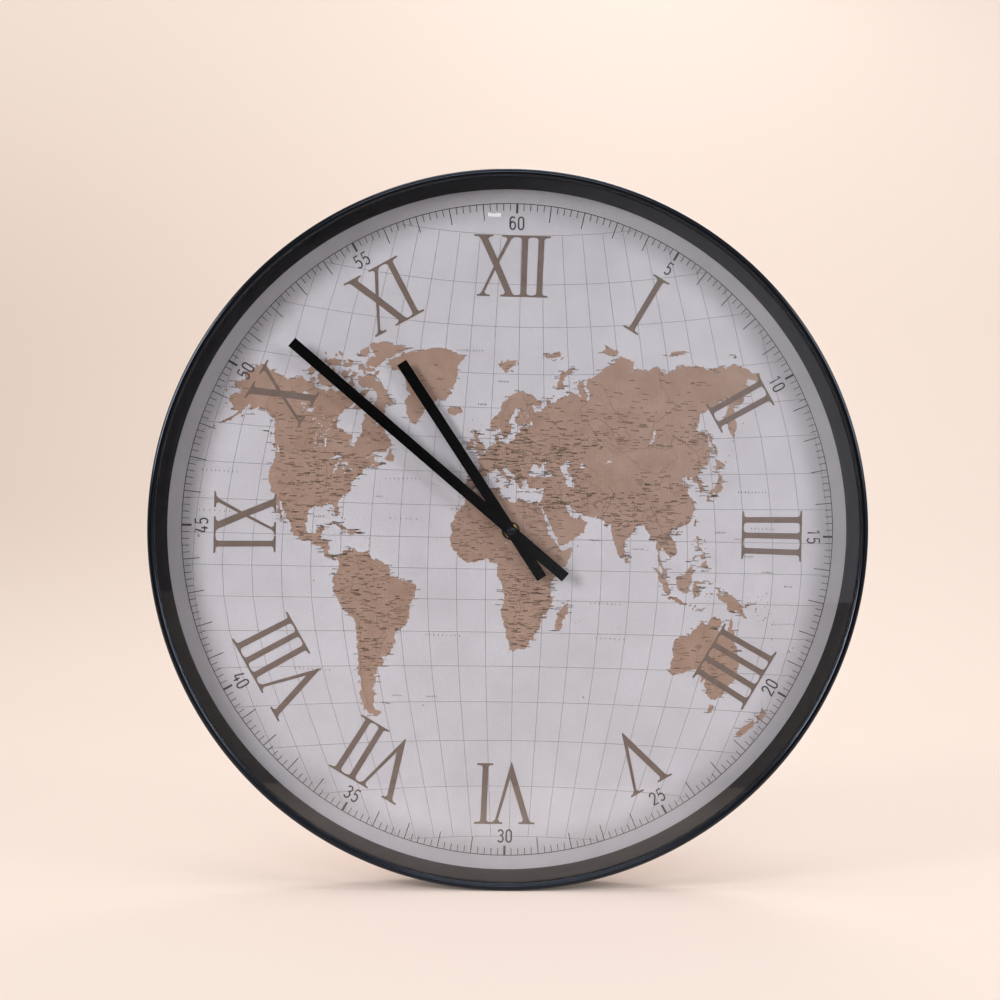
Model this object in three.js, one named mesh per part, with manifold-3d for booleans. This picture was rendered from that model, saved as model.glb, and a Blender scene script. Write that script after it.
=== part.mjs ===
// World map wall clock: a black steel hoop with a glass front, a printed dial on a hardboard disc,
// two bar hands and a battery movement behind the dial.
// Millimetres, +Z up. The dial faces -Y and the wall is the plane y = 0.
// "Depth" is the distance from the wall towards the room, so y = -depth.
// The origin is the hanging point on the back of the hanger.
import * as THREE from "three";
import { mergeVertices } from "three/addons/utils/BufferGeometryUtils.js";
import Module from "manifold-3d";

// Clearances
const FIT_GAP = 0.3;
const RUNNING_GAP = 0.3;
const PRESS_GAP = 0.1;
const DISC_GAP = 0.5;

// Case, glass and dial
const CASE_DIAMETER = 600;
const CASE_DEPTH = 50;
const CASE_WALL = 2;
const BEAD_WIDTH = 6;
const BEAD_DEPTH = 4.5;
const GLASS_THICKNESS = 2.5;
const DIAL_DEPTH = 25;
const DIAL_SHADOW_STEP = 4;
const SHEET_THICKNESS = 0.4;
const BOARD_THICKNESS = 3;
const HOOP_SEGMENTS = 72;
const BEAD_SEGMENTS = 5;

// Clips and screws that hold the board in the hoop
const CLIP_COUNT = 6;
const CLIP_FIRST_ANGLE = 30;
const CLIP_WIDTH = 16;
const CLIP_REACH = 18;
const CLIP_LEG = 12;
const CLIP_THICKNESS = 1.2;
const SCREW_HEAD_DIAMETER = 6.4;
const SCREW_HEAD_HEIGHT = 1.8;
const SCREW_SHANK_DIAMETER = 2.8;
const SCREW_BITE = 2.2;

// Hanger
const HANGER_BELOW_RIM = 68;
const HANGER_PLATE_WIDTH = 44;
const HANGER_FOOT = 16;
const HANGER_THICKNESS = 1.5;
const HANGER_TOP_MARGIN = 8;
const HANGER_BOTTOM_MARGIN = 7;
const KEYHOLE_BELOW_ORIGIN = 4;
const KEYHOLE_SLOT_WIDTH = 5;
const KEYHOLE_SLOT_LENGTH = 9;
const KEYHOLE_DIAMETER = 11;

// Hands
const HAND_WIDTH = 9;
const HAND_THICKNESS = 0.8;
const MINUTE_HAND_LENGTH = 241;
const MINUTE_HAND_TAIL = 60;
const HOUR_HAND_LENGTH = 168;
const HOUR_HAND_TAIL = 47.5;
const HAND_COLLET_DIAMETER = 8.4;
const HAND_COLLET_HEIGHT = 1.5;
const SHOWN_HOUR = 10;
const SHOWN_MINUTE = 51.6;

// Centre stack
const BUSH_DIAMETER = 8;
const BUSH_STANDS_PROUD = 3.4;
const HOUR_PIPE_DIAMETER = 5.1;
const HOUR_PIPE_BORE = 3.8;
const MINUTE_ARBOR_DIAMETER = 3.2;
const WASHER_DIAMETER = 15.5;
const WASHER_THICKNESS = 0.8;
const NUT_ACROSS_FLATS = 11;
const NUT_HEIGHT = 2;
const HAND_NUT_DIAMETER = 7.2;
const HAND_NUT_HEIGHT = 2.2;
const GASKET_DIAMETER = 24;
const GASKET_THICKNESS = 0.9;
const HAND_SPACING = 0.6;

// Gears: teeth, modules and the straight-flanked tooth form
const MOTION_MODULE = 0.45;
const CANNON_TEETH = 10;
const MOTION_WHEEL_TEETH = 30;
const MOTION_PINION_TEETH = 8;
const HOUR_WHEEL_TEETH = 32;
const SETTING_TEETH = 12;
const TRAIN_MODULE = 0.25;
const CENTRE_WHEEL_TEETH = 80;
const THIRD_PINION_TEETH = 8;
const THIRD_WHEEL_TEETH = 72;
const ROTOR_TEETH = 8;
const TOOTH_ADDENDUM = 0.9;
const TOOTH_DEDENDUM = 1.2;
const TOOTH_ROOT_SHARE = 0.28;
const TOOTH_TIP_SHARE = 0.1;
const WHEEL_THICKNESS = 0.8;
const PINION_OVERHANG = 0.2;
const LAYER_GAP = 0.6;
const MOTION_ANGLE = 150;
const SETTING_ANGLE = 150;
const THIRD_ANGLE = 40;
const ROTOR_ANGLE = 110;

// Arbors
const ARBOR_DIAMETER = 1.4;
const PIVOT_DIAMETER = 1;
const PIVOT_LENGTH = 0.7;
const SETTING_ARBOR_DIAMETER = 2.4;
const BOSS_WALL = 1.1;

// Movement
const HOUSING_WALL = 1.2;
const PLATE_THICKNESS = 1;
const COVER_THICKNESS = 1.5;
const PARTITION_THICKNESS = 1;
const POST_DIAMETER = 3;
const MOVEMENT_BACK_DEPTH = 4;
const KNOB_DIAMETER = 10.4;
const KNOB_HEIGHT = 3;
const KNOB_FLUTES = 12;

// Motor and electronics
const ROTOR_MAGNET_DIAMETER = 5.6;
const ROTOR_MAGNET_HEIGHT = 1.6;
const ROTOR_AIR_GAP = 0.4;
const STATOR_RING_WIDTH = 2;
const STATOR_THICKNESS = 0.8;
const STATOR_ARM = 3;
const COIL_LENGTH = 17;
const COIL_FLANGE = 6.4;
const COIL_FLANGE_THICKNESS = 0.8;
const COIL_TUBE_DIAMETER = 4.4;
const COIL_DIAMETER = 6;
const COIL_ABOVE_ROTOR = 6.2;
const COIL_LEFT_OF_ROTOR = 10.5;
const CORE_WIDTH = 3.2;
const CORE_THICKNESS = 1;
const BOARD_PCB_THICKNESS = 0.8;
const PCB_WIDTH = 13.5;
const PCB_HEIGHT = 15;
const CRYSTAL_DIAMETER = 2;
const CRYSTAL_LENGTH = 6;
const CHIP_DIAMETER = 4.4;
const CHIP_HEIGHT = 1;

// Cell and contacts
const BATTERY_DIAMETER = 14.5;
const BATTERY_LENGTH = 50.5;
const BATTERY_NUB_DIAMETER = 5.5;
const BATTERY_NUB_HEIGHT = 1;
const CONTACT_THICKNESS = 0.5;
const CONTACT_WIDTH = 5;

// Radii of the case stack
const caseRadius = CASE_DIAMETER / 2;
const wallRadius = caseRadius - CASE_WALL;
const beadInnerRadius = caseRadius - BEAD_WIDTH;
const discRadius = wallRadius - DISC_GAP;
const dialVisibleRadius = beadInnerRadius - DIAL_SHADOW_STEP;
const hangerHeight = caseRadius - HANGER_BELOW_RIM;

// Depths of the case stack, from the room back to the wall
const beadBack = CASE_DEPTH - BEAD_DEPTH;
const glassFront = beadBack - FIT_GAP;
const glassBack = glassFront - GLASS_THICKNESS;
const dialFace = DIAL_DEPTH;
const sheetBack = dialFace - SHEET_THICKNESS;
const boardBack = sheetBack - BOARD_THICKNESS;

// Depths of the centre stack in front of the dial
const washerFront = dialFace + WASHER_THICKNESS;
const nutFront = washerFront + NUT_HEIGHT;
const bushFront = dialFace + BUSH_STANDS_PROUD;
const hourColletBack = Math.max(bushFront, nutFront) + HAND_SPACING;
const hourHandBack = hourColletBack + HAND_COLLET_HEIGHT;
const hourHandFront = hourHandBack + HAND_THICKNESS;
const hourPipeFront = hourHandFront + FIT_GAP;
const minuteColletBack = hourPipeFront + HAND_SPACING;
const minuteHandBack = minuteColletBack + HAND_COLLET_HEIGHT;
const minuteHandFront = minuteHandBack + HAND_THICKNESS;
const minuteArborFront = minuteHandFront + HAND_NUT_HEIGHT / 2;

// Depths inside the movement, from the dial board back to the wall
const gasketBack = boardBack - GASKET_THICKNESS;
const floorBack = gasketBack - HOUSING_WALL;
const hourWheelFront = floorBack - LAYER_GAP;
const hourWheelBack = hourWheelFront - WHEEL_THICKNESS;
const motionWheelFront = hourWheelBack - LAYER_GAP;
const motionWheelBack = motionWheelFront - WHEEL_THICKNESS;
const plateFront = motionWheelBack - LAYER_GAP - PINION_OVERHANG;
const plateBack = plateFront - PLATE_THICKNESS;
const centreWheelFront = plateBack - LAYER_GAP;
const centreWheelBack = centreWheelFront - WHEEL_THICKNESS;
const magnetFront = plateBack - LAYER_GAP;
const magnetBack = magnetFront - ROTOR_MAGNET_HEIGHT;
const thirdWheelFront = magnetBack - LAYER_GAP;
const thirdWheelBack = thirdWheelFront - WHEEL_THICKNESS;
const bossFront = thirdWheelBack - LAYER_GAP - PINION_OVERHANG;
const coverFront = MOVEMENT_BACK_DEPTH + COVER_THICKNESS;
const stationaryBack = plateBack - FIT_GAP;

// Gear centres, seen from the room with x to the right and z up
const pitchDistance = (module, teethA, teethB) => (module * (teethA + teethB)) / 2;
const tipRadius = (module, teeth) => (module * teeth) / 2 + TOOTH_ADDENDUM * module;
const centre = { x: 0, z: 0 };
const motionDistance = pitchDistance(MOTION_MODULE, CANNON_TEETH, MOTION_WHEEL_TEETH);
const motionCentre = stepFrom(centre, MOTION_ANGLE, motionDistance);
const settingDistance = pitchDistance(MOTION_MODULE, MOTION_WHEEL_TEETH, SETTING_TEETH);
const settingCentre = stepFrom(motionCentre, SETTING_ANGLE, settingDistance);
const thirdDistance = pitchDistance(TRAIN_MODULE, CENTRE_WHEEL_TEETH, THIRD_PINION_TEETH);
const thirdCentre = stepFrom(centre, THIRD_ANGLE, thirdDistance);
const rotorDistance = pitchDistance(TRAIN_MODULE, THIRD_WHEEL_TEETH, ROTOR_TEETH);
const rotorCentre = stepFrom(thirdCentre, ROTOR_ANGLE, rotorDistance);

// Outline of the movement, set by the cell below and the coil above
const coilZ = rotorCentre.z + COIL_ABOVE_ROTOR;
const coilRight = rotorCentre.x - COIL_LEFT_OF_ROTOR;
const coilLeft = coilRight - COIL_LENGTH;
const armLeft = coilLeft - FIT_GAP - STATOR_ARM;
const armRight = coilRight + FIT_GAP + STATOR_ARM;
const contactSpace = CONTACT_THICKNESS + 2 * FIT_GAP;
const housingInner = Math.max(BATTERY_LENGTH / 2 + contactSpace, FIT_GAP - armLeft);
const housingOuter = housingInner + HOUSING_WALL;
const innerTop = coilZ + COIL_FLANGE / 2 + LAYER_GAP;
const outerTop = innerTop + HOUSING_WALL;
const partitionTop = -tipRadius(TRAIN_MODULE, CENTRE_WHEEL_TEETH) - LAYER_GAP;
const partitionBottom = partitionTop - PARTITION_THICKNESS;
const batteryZ = partitionBottom - FIT_GAP - BATTERY_DIAMETER / 2;
const bayBottom = batteryZ - BATTERY_DIAMETER / 2 - FIT_GAP;
const outerBottom = bayBottom - HOUSING_WALL;
const batteryDepth = floorBack - FIT_GAP - BATTERY_DIAMETER / 2;
const statorBack = stationaryBack - STATOR_THICKNESS;
const coreFront = statorBack - FIT_GAP;
const coreBack = coreFront - CORE_THICKNESS;
const coilDepth = (coreFront + coreBack) / 2;
const pcbBack = stationaryBack - BOARD_PCB_THICKNESS;
const pcbLeft = -housingInner + FIT_GAP;
const pcbBottom = partitionTop + 1;
const contactFront = pcbBack - FIT_GAP;
const contactBack = contactFront - CONTACT_WIDTH;

// Finishes
const paintBlack = finish(0x15161a, 0.35, 0.4);
const glassClear = finish(0xdfe8ea, 0.05, 0);
const wallGrey = finish(0x2c2b2f, 0.6, 0);
const paperLilac = finish(0xcfc8cf, 0.9, 0);
const boardBrown = finish(0x6d4f36, 0.85, 0);
const steel = finish(0xa9acb0, 0.4, 0.9);
const brass = finish(0xb58a45, 0.35, 0.9);
const handBlack = finish(0x121214, 0.6, 0.2);
const rubberBlack = finish(0x1b1b1b, 0.95, 0);
const plasticBlack = finish(0x1d1e20, 0.6, 0);
const gearWhite = finish(0xe7e4da, 0.5, 0);
const magnetGrey = finish(0x4a4c50, 0.45, 0.7);
const copper = finish(0xa65a2c, 0.4, 0.8);
const boardGreen = finish(0x1f6a3c, 0.5, 0);
const cellSilver = finish(0x8e9196, 0.35, 0.6);

// Manifold solids do the joins and cuts
const wasm = await Module();
wasm.setup();

const clock = new THREE.Group();
clock.name = "world_map_clock";
clock.position.z = -hangerHeight;

addCase();
addDial();
addClips();
addHanger();
addCentreStack();
addHands();
addHousing();
addTrainPlate();
addCover();
addMotionWork();
addTrain();
addMotor();
addElectronics();
addCell();

export default clock;

// Shared tools

function finish(color, roughness, metalness) {
  return new THREE.MeshStandardMaterial({ color, roughness, metalness });
}

// A point at a distance and angle from another, in the front view.
function stepFrom(from, degrees, distance) {
  const angle = THREE.MathUtils.degToRad(degrees);
  return { x: from.x + distance * Math.cos(angle), z: from.z + distance * Math.sin(angle) };
}

// A closed geometry as a manifold solid, with shared corners joined.
function toSolid(geometry) {
  const bare = new THREE.BufferGeometry();
  bare.setAttribute("position", geometry.getAttribute("position"));
  bare.setIndex(geometry.getIndex());
  const joined = mergeVertices(bare, 1e-5);
  const corners = joined.getIndex().array;
  const triangles = [];
  for (let i = 0; i < corners.length; i += 3) {
    const [a, b, c] = [corners[i], corners[i + 1], corners[i + 2]];
    if (a !== b && b !== c && c !== a) triangles.push(a, b, c);
  }
  const mesh = new wasm.Mesh({
    numProp: 3,
    vertProperties: joined.getAttribute("position").array,
    triVerts: Uint32Array.from(triangles),
  });
  return new wasm.Manifold(mesh);
}

// A manifold solid back as a three.js geometry.
function toGeometry(solid) {
  const mesh = solid.getMesh();
  const geometry = new THREE.BufferGeometry();
  geometry.setAttribute("position", new THREE.BufferAttribute(Float32Array.from(mesh.vertProperties), 3));
  geometry.setIndex(Array.from(mesh.triVerts));
  geometry.computeVertexNormals();
  return geometry;
}

// Adds one named piece to the clock; place is a point in the front view.
function addPiece(name, solid, material, place = centre) {
  const mesh = new THREE.Mesh(toGeometry(solid), material);
  mesh.name = name;
  mesh.position.set(place.x, 0, place.z);
  clock.add(mesh);
  return mesh;
}

// A turned solid about the depth axis; the profile holds [radius, depth] from the front round to the back.
function turned(profile, segments = 24) {
  const points = profile.map(([radius, depth]) => new THREE.Vector2(radius, -depth));
  return toSolid(new THREE.LatheGeometry(points, segments));
}

// A solid cylinder along the depth axis at a point of the front view.
function peg(diameter, front, back, at = centre, segments = 16) {
  const radius = diameter / 2;
  const profile = [[0, front], [radius, front], [radius, back], [0, back]];
  return turned(profile, segments).translate([at.x, 0, at.z]);
}

// A ring along the depth axis.
function ring(outer, inner, front, back, segments = 24) {
  const profile = [[inner, front], [outer, front], [outer, back], [inner, back], [inner, front]];
  return turned(profile.map(([diameter, depth]) => [diameter / 2, depth]), segments);
}

// A box between two corners given as x, depth and z ranges.
function block([left, right], [front, back], [bottom, top]) {
  const box = new THREE.BoxGeometry(right - left, front - back, top - bottom);
  box.translate((left + right) / 2, -(front + back) / 2, (bottom + top) / 2);
  return toSolid(box);
}

// A flat outline drawn in the front view and given thickness between two depths.
function slab(shape, front, back) {
  const geometry = new THREE.ExtrudeGeometry(shape, { depth: front - back, bevelEnabled: false, curveSegments: 8 });
  geometry.rotateX(Math.PI / 2);
  geometry.translate(0, -back, 0);
  return toSolid(geometry);
}

// Outline of a gear with one tooth centred on the phase angle.
function gearShape(teeth, module, phase) {
  const pitchRadius = (module * teeth) / 2;
  const tip = pitchRadius + TOOTH_ADDENDUM * module;
  const root = pitchRadius - TOOTH_DEDENDUM * module;
  const corners = [
    [root, -TOOTH_ROOT_SHARE],
    [tip, -TOOTH_TIP_SHARE],
    [tip, TOOTH_TIP_SHARE],
    [root, TOOTH_ROOT_SHARE],
  ];
  const points = [];
  for (let tooth = 0; tooth < teeth; tooth += 1) {
    for (const [radius, share] of corners) {
      const angle = phase + ((tooth + share) * 2 * Math.PI) / teeth;
      points.push(new THREE.Vector2(radius * Math.cos(angle), radius * Math.sin(angle)));
    }
  }
  return new THREE.Shape(points);
}

// Phase of a gear that meshes with another one standing at the given angle from it.
function meshPhase(teeth, phase, degrees, partnerTeeth) {
  const angle = THREE.MathUtils.degToRad(degrees);
  const share = (angle - phase) / ((2 * Math.PI) / teeth);
  return angle + Math.PI - ((0.5 - share) * 2 * Math.PI) / partnerTeeth;
}

// An arbor with a thinner pivot at each end; the shoulders stand inside the plates.
function pivotedArbor(diameter, frontPlate, backPlate) {
  const radius = diameter / 2;
  const pivot = PIVOT_DIAMETER / 2;
  const front = frontPlate - RUNNING_GAP;
  const back = backPlate + RUNNING_GAP;
  return turned([
    [0, frontPlate + PIVOT_LENGTH],
    [pivot, frontPlate + PIVOT_LENGTH],
    [pivot, front],
    [radius, front],
    [radius, back],
    [pivot, back],
    [pivot, backPlate - PIVOT_LENGTH],
    [0, backPlate - PIVOT_LENGTH],
  ], 12);
}

// A hole for a pivot, a little wider and deeper than the pivot itself.
function pivotHole(at, face, direction) {
  const reach = face + direction * (PIVOT_LENGTH + 0.15);
  const outside = face - direction;
  const diameter = PIVOT_DIAMETER + 2 * PRESS_GAP;
  return peg(diameter, Math.max(reach, outside), Math.min(reach, outside), at, 12);
}

// Hoop, glass and the inner wall

function addCase() {
  const beadRadius = BEAD_WIDTH / 2;
  const beadCentre = CASE_DEPTH - beadRadius;
  const hoop = [[beadInnerRadius, beadBack]];
  for (let i = 0; i <= BEAD_SEGMENTS; i += 1) {
    const angle = Math.PI * (1 - i / BEAD_SEGMENTS);
    const radius = caseRadius - beadRadius + beadRadius * Math.cos(angle);
    hoop.push([radius, beadCentre + beadRadius * Math.sin(angle)]);
  }
  hoop.push([caseRadius, 0], [wallRadius, 0], [wallRadius, beadBack], [beadInnerRadius, beadBack]);
  addPiece("case_ring", turned(hoop, HOOP_SEGMENTS), paintBlack);

  const glass = [[0, glassFront], [discRadius, glassFront], [discRadius, glassBack], [0, glassBack]];
  addPiece("glass_lens", turned(glass, HOOP_SEGMENTS), glassClear);

  const wallFront = glassBack - FIT_GAP;
  const innerWall = [
    [beadInnerRadius, wallFront],
    [discRadius, wallFront],
    [discRadius, dialFace],
    [dialVisibleRadius, dialFace],
    [beadInnerRadius, wallFront],
  ];
  addPiece("spacer_ring", turned(innerWall, HOOP_SEGMENTS), wallGrey);
}

// Printed sheet and the board that carries it

function addDial() {
  const hole = BUSH_DIAMETER + 2 * FIT_GAP;
  const sheet = ring(2 * discRadius, hole, dialFace, sheetBack, HOOP_SEGMENTS);
  addPiece("dial_sheet", sheet, paperLilac);

  let board = ring(2 * discRadius, hole, sheetBack, boardBack, HOOP_SEGMENTS);
  for (const place of screwPlaces()) {
    const pilot = SCREW_SHANK_DIAMETER + 2 * FIT_GAP;
    board = board.subtract(peg(pilot, boardBack + SCREW_BITE + FIT_GAP, boardBack - 1, place, 10));
  }
  addPiece("dial_board", board, boardBrown);
}

// Every screw that bites into the board, in the front view.
function screwPlaces() {
  const places = [];
  for (let i = 0; i < CLIP_COUNT; i += 1) {
    places.push(stepFrom(centre, CLIP_FIRST_ANGLE + (i * 360) / CLIP_COUNT, clipScrewRadius()));
  }
  places.push(hangerScrew(-1), hangerScrew(1));
  return places;
}

function clipScrewRadius() {
  return clipOuterRadius() - CLIP_REACH + SCREW_HEAD_DIAMETER / 2 + CLIP_THICKNESS;
}

// The flat clip leg stands clear of the faceted wall of the hoop.
function clipOuterRadius() {
  return wallRadius * Math.cos(Math.PI / HOOP_SEGMENTS) - FIT_GAP;
}

function hangerScrew(side) {
  return { x: side * (HANGER_PLATE_WIDTH / 2 + HANGER_FOOT / 2), z: hangerMiddle() };
}

// A pan-head wood screw that enters the board from the back.
function screw(seat) {
  const head = SCREW_HEAD_DIAMETER / 2;
  const shank = SCREW_SHANK_DIAMETER / 2;
  return turned([
    [0, boardBack + SCREW_BITE],
    [shank, boardBack + SCREW_BITE - shank],
    [shank, seat],
    [head, seat],
    [head, seat - SCREW_HEAD_HEIGHT / 2],
    [head * 0.6, seat - SCREW_HEAD_HEIGHT],
    [0, seat - SCREW_HEAD_HEIGHT],
  ], 10);
}

// Clips welded inside the hoop

function addClips() {
  const seat = boardBack - CLIP_THICKNESS;
  const outer = clipOuterRadius();
  const half = CLIP_WIDTH / 2;
  const foot = block([-half, half], [boardBack, seat], [outer - CLIP_REACH, outer]);
  const leg = block([-half, half], [boardBack, boardBack - CLIP_LEG], [outer - CLIP_THICKNESS, outer]);
  const hole = peg(SCREW_SHANK_DIAMETER + 2 * FIT_GAP, boardBack + 1, seat - 1, { x: 0, z: clipScrewRadius() }, 10);
  const clip = foot.add(leg).subtract(hole);
  const fastener = screw(seat).translate([0, 0, clipScrewRadius()]);
  for (let i = 0; i < CLIP_COUNT; i += 1) {
    const turn = Math.PI / 2 - THREE.MathUtils.degToRad(CLIP_FIRST_ANGLE + (i * 360) / CLIP_COUNT);
    addPiece(`clip_${i + 1}`, clip, steel).rotation.y = turn;
    addPiece(`clip_screw_${i + 1}`, fastener, steel).rotation.y = turn;
  }
}

// Hat-shaped hanger with a keyhole, its plate level with the back edge of the hoop

function hangerBottom() {
  const keyhole = KEYHOLE_BELOW_ORIGIN + KEYHOLE_SLOT_LENGTH + KEYHOLE_DIAMETER;
  return hangerHeight - keyhole - HANGER_BOTTOM_MARGIN;
}

function hangerMiddle() {
  return (hangerBottom() + hangerHeight + HANGER_TOP_MARGIN) / 2;
}

function addHanger() {
  const half = HANGER_PLATE_WIDTH / 2;
  const footEnd = half + HANGER_FOOT;
  const inside = half - HANGER_THICKNESS;
  const footBack = boardBack - HANGER_THICKNESS;
  const outline = [
    [-footEnd, boardBack],
    [-footEnd, footBack],
    [-half, footBack],
    [-half, 0],
    [half, 0],
    [half, footBack],
    [footEnd, footBack],
    [footEnd, boardBack],
    [inside, boardBack],
    [inside, HANGER_THICKNESS],
    [-inside, HANGER_THICKNESS],
    [-inside, boardBack],
  ];
  const shape = new THREE.Shape(outline.map(([x, depth]) => new THREE.Vector2(x, -depth)));
  const height = hangerHeight + HANGER_TOP_MARGIN - hangerBottom();
  const folded = new THREE.ExtrudeGeometry(shape, { depth: height, bevelEnabled: false });
  folded.translate(0, 0, hangerBottom());

  const slotTop = hangerHeight - KEYHOLE_BELOW_ORIGIN;
  const slotRadius = KEYHOLE_SLOT_WIDTH / 2;
  const keyZ = slotTop - KEYHOLE_SLOT_LENGTH - KEYHOLE_DIAMETER / 2;
  const through = [HANGER_THICKNESS + 1, -1];
  const slotEnd = peg(KEYHOLE_SLOT_WIDTH, ...through, { x: 0, z: slotTop - slotRadius });
  const slot = block([-slotRadius, slotRadius], through, [keyZ, slotTop - slotRadius]);
  const entry = peg(KEYHOLE_DIAMETER, ...through, { x: 0, z: keyZ }, 24);
  let hanger = toSolid(folded).subtract(slotEnd.add(slot).add(entry));
  for (const side of [-1, 1]) {
    const bore = SCREW_SHANK_DIAMETER + 2 * FIT_GAP;
    hanger = hanger.subtract(peg(bore, boardBack + 1, footBack - 1, hangerScrew(side)));
  }
  addPiece("hanger_bracket", hanger, steel);
  addPiece("hanger_screw_left", screw(footBack), steel, hangerScrew(-1));
  addPiece("hanger_screw_right", screw(footBack), steel, hangerScrew(1));
}

// Gasket, washer and nut that clamp the movement to the board

function addCentreStack() {
  const bore = BUSH_DIAMETER + 2 * FIT_GAP;
  addPiece("rubber_gasket", ring(GASKET_DIAMETER, bore, boardBack, gasketBack), rubberBlack);
  addPiece("brass_washer", ring(WASHER_DIAMETER, bore, washerFront, dialFace, 32), brass);

  const hexagon = new THREE.Shape();
  const corner = NUT_ACROSS_FLATS / 2 / Math.cos(Math.PI / 6);
  hexagon.setFromPoints(Array.from({ length: 6 }, (_, i) => {
    const angle = (i * Math.PI) / 3;
    return new THREE.Vector2(corner * Math.cos(angle), corner * Math.sin(angle));
  }));
  const blank = slab(hexagon, nutFront, washerFront);
  addPiece("fixing_nut", blank.subtract(peg(bore, nutFront + 1, washerFront - 1, centre, 24)), brass);
}

// Hour and minute hands with their collets, and the cap nut

function addHands() {
  const minuteTurn = (SHOWN_MINUTE / 60) * 360;
  const hourTurn = ((SHOWN_HOUR + SHOWN_MINUTE / 60) / 12) * 360;
  const hourHand = hand(HOUR_HAND_LENGTH, HOUR_HAND_TAIL, HOUR_PIPE_DIAMETER, hourHandFront, hourColletBack);
  addPiece("hour_hand", turnedBy(hourHand, hourTurn), handBlack);
  const minuteHand = hand(
    MINUTE_HAND_LENGTH, MINUTE_HAND_TAIL, MINUTE_ARBOR_DIAMETER, minuteHandFront, minuteColletBack,
  );
  addPiece("minute_hand", turnedBy(minuteHand, minuteTurn), handBlack);

  const capFront = minuteHandFront + HAND_NUT_HEIGHT;
  const capRadius = HAND_NUT_DIAMETER / 2;
  const cap = turned([
    [0, capFront],
    [capRadius * 0.75, capFront],
    [capRadius, capFront - HAND_NUT_HEIGHT * 0.3],
    [capRadius, minuteHandFront],
    [0, minuteHandFront],
  ]);
  const bore = MINUTE_ARBOR_DIAMETER + 2 * PRESS_GAP;
  const socket = peg(bore, minuteArborFront + FIT_GAP, minuteHandFront - 1);
  addPiece("minute_hand_nut", cap.subtract(socket), handBlack);
}

// A straight bar pointing at twelve, with a collet behind it that grips the pipe or arbor.
function hand(length, tail, shaft, front, colletBack) {
  const half = HAND_WIDTH / 2;
  const back = front - HAND_THICKNESS;
  const bar = block([-half, half], [front, back], [-tail, length]);
  const collet = peg(HAND_COLLET_DIAMETER, front - HAND_THICKNESS / 2, colletBack, centre, 24);
  return bar.add(collet).subtract(peg(shaft + 2 * PRESS_GAP, front + 1, colletBack - 1, centre, 24));
}

// Turns a solid clockwise as seen from the room.
function turnedBy(solid, degrees) {
  return solid.rotate([0, degrees, 0]);
}

// Front shell of the movement with the threaded bush, the cell bay and its posts

function addHousing() {
  const inner = [-housingInner, housingInner];
  const outer = [-housingOuter, housingOuter];
  const behind = MOVEMENT_BACK_DEPTH - 1;
  const rim = coverFront + FIT_GAP;
  const shell = block(outer, [gasketBack, MOVEMENT_BACK_DEPTH], [outerBottom, outerTop])
    .subtract(block(inner, [floorBack, behind], [partitionTop, innerTop]))
    .subtract(block(inner, [floorBack, behind], [bayBottom, partitionBottom]))
    .subtract(block([-housingOuter - 1, housingOuter + 1], [rim, behind], [partitionBottom, outerTop + 1]));

  let housing = shell.add(peg(BUSH_DIAMETER, bushFront, floorBack, centre, 24));
  for (const place of postPlaces()) {
    housing = housing.add(peg(POST_DIAMETER, floorBack + 0.5, plateFront + FIT_GAP, place, 12));
  }
  const bushBore = HOUR_PIPE_DIAMETER + 2 * RUNNING_GAP;
  housing = housing
    .subtract(peg(bushBore, bushFront + 1, floorBack - 1, centre, 24))
    .subtract(pivotHole(motionCentre, floorBack, 1))
    .subtract(pivotHole(settingCentre, floorBack, 1));

  const slotInner = BATTERY_LENGTH / 2;
  const slotDepth = [contactFront + FIT_GAP, behind];
  const slotHeight = [partitionBottom - 0.5, partitionTop + 0.5];
  for (const side of [-1, 1]) {
    const ends = [side * slotInner, side * housingInner].sort((a, b) => a - b);
    housing = housing.subtract(block(ends, slotDepth, slotHeight));
  }
  addPiece("movement_housing", housing, plasticBlack);
}

// Posts under the corners of the train plate; the top left one stays below the coil.
function postPlaces() {
  const x = housingInner - POST_DIAMETER / 2 - FIT_GAP;
  const low = partitionTop + POST_DIAMETER / 2 + FIT_GAP;
  const high = innerTop - POST_DIAMETER / 2 - FIT_GAP;
  return [
    { x: -x, z: low },
    { x, z: low },
    { x, z: high },
    { x: -x, z: plateNotch() - POST_DIAMETER / 2 - FIT_GAP },
  ];
}

// Height at which the train plate is cut away to clear the coil.
function plateNotch() {
  return coilZ - COIL_FLANGE / 2 - FIT_GAP;
}

function addTrainPlate() {
  const edge = housingInner - FIT_GAP;
  const bottom = partitionTop + FIT_GAP;
  const top = innerTop - FIT_GAP;
  const notchX = coilRight + FIT_GAP;
  const outline = [
    [-edge, bottom],
    [edge, bottom],
    [edge, top],
    [notchX, top],
    [notchX, plateNotch()],
    [-edge, plateNotch()],
  ];
  const shape = new THREE.Shape(outline.map(([x, z]) => new THREE.Vector2(x, z)));
  const through = [plateFront + 1, plateBack - 1];
  const pivotBore = PIVOT_DIAMETER + 2 * PRESS_GAP;
  const plate = slab(shape, plateFront, plateBack)
    .subtract(peg(MINUTE_ARBOR_DIAMETER + 2 * RUNNING_GAP, ...through, centre))
    .subtract(peg(SETTING_ARBOR_DIAMETER + 2 * RUNNING_GAP, ...through, settingCentre))
    .subtract(peg(pivotBore, ...through, motionCentre, 12))
    .subtract(peg(pivotBore, ...through, thirdCentre, 12))
    .subtract(peg(pivotBore, ...through, rotorCentre, 12));
  addPiece("train_plate", plate, plasticBlack);
}

// Back cover over the gears, with bosses for the back pivots

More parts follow.
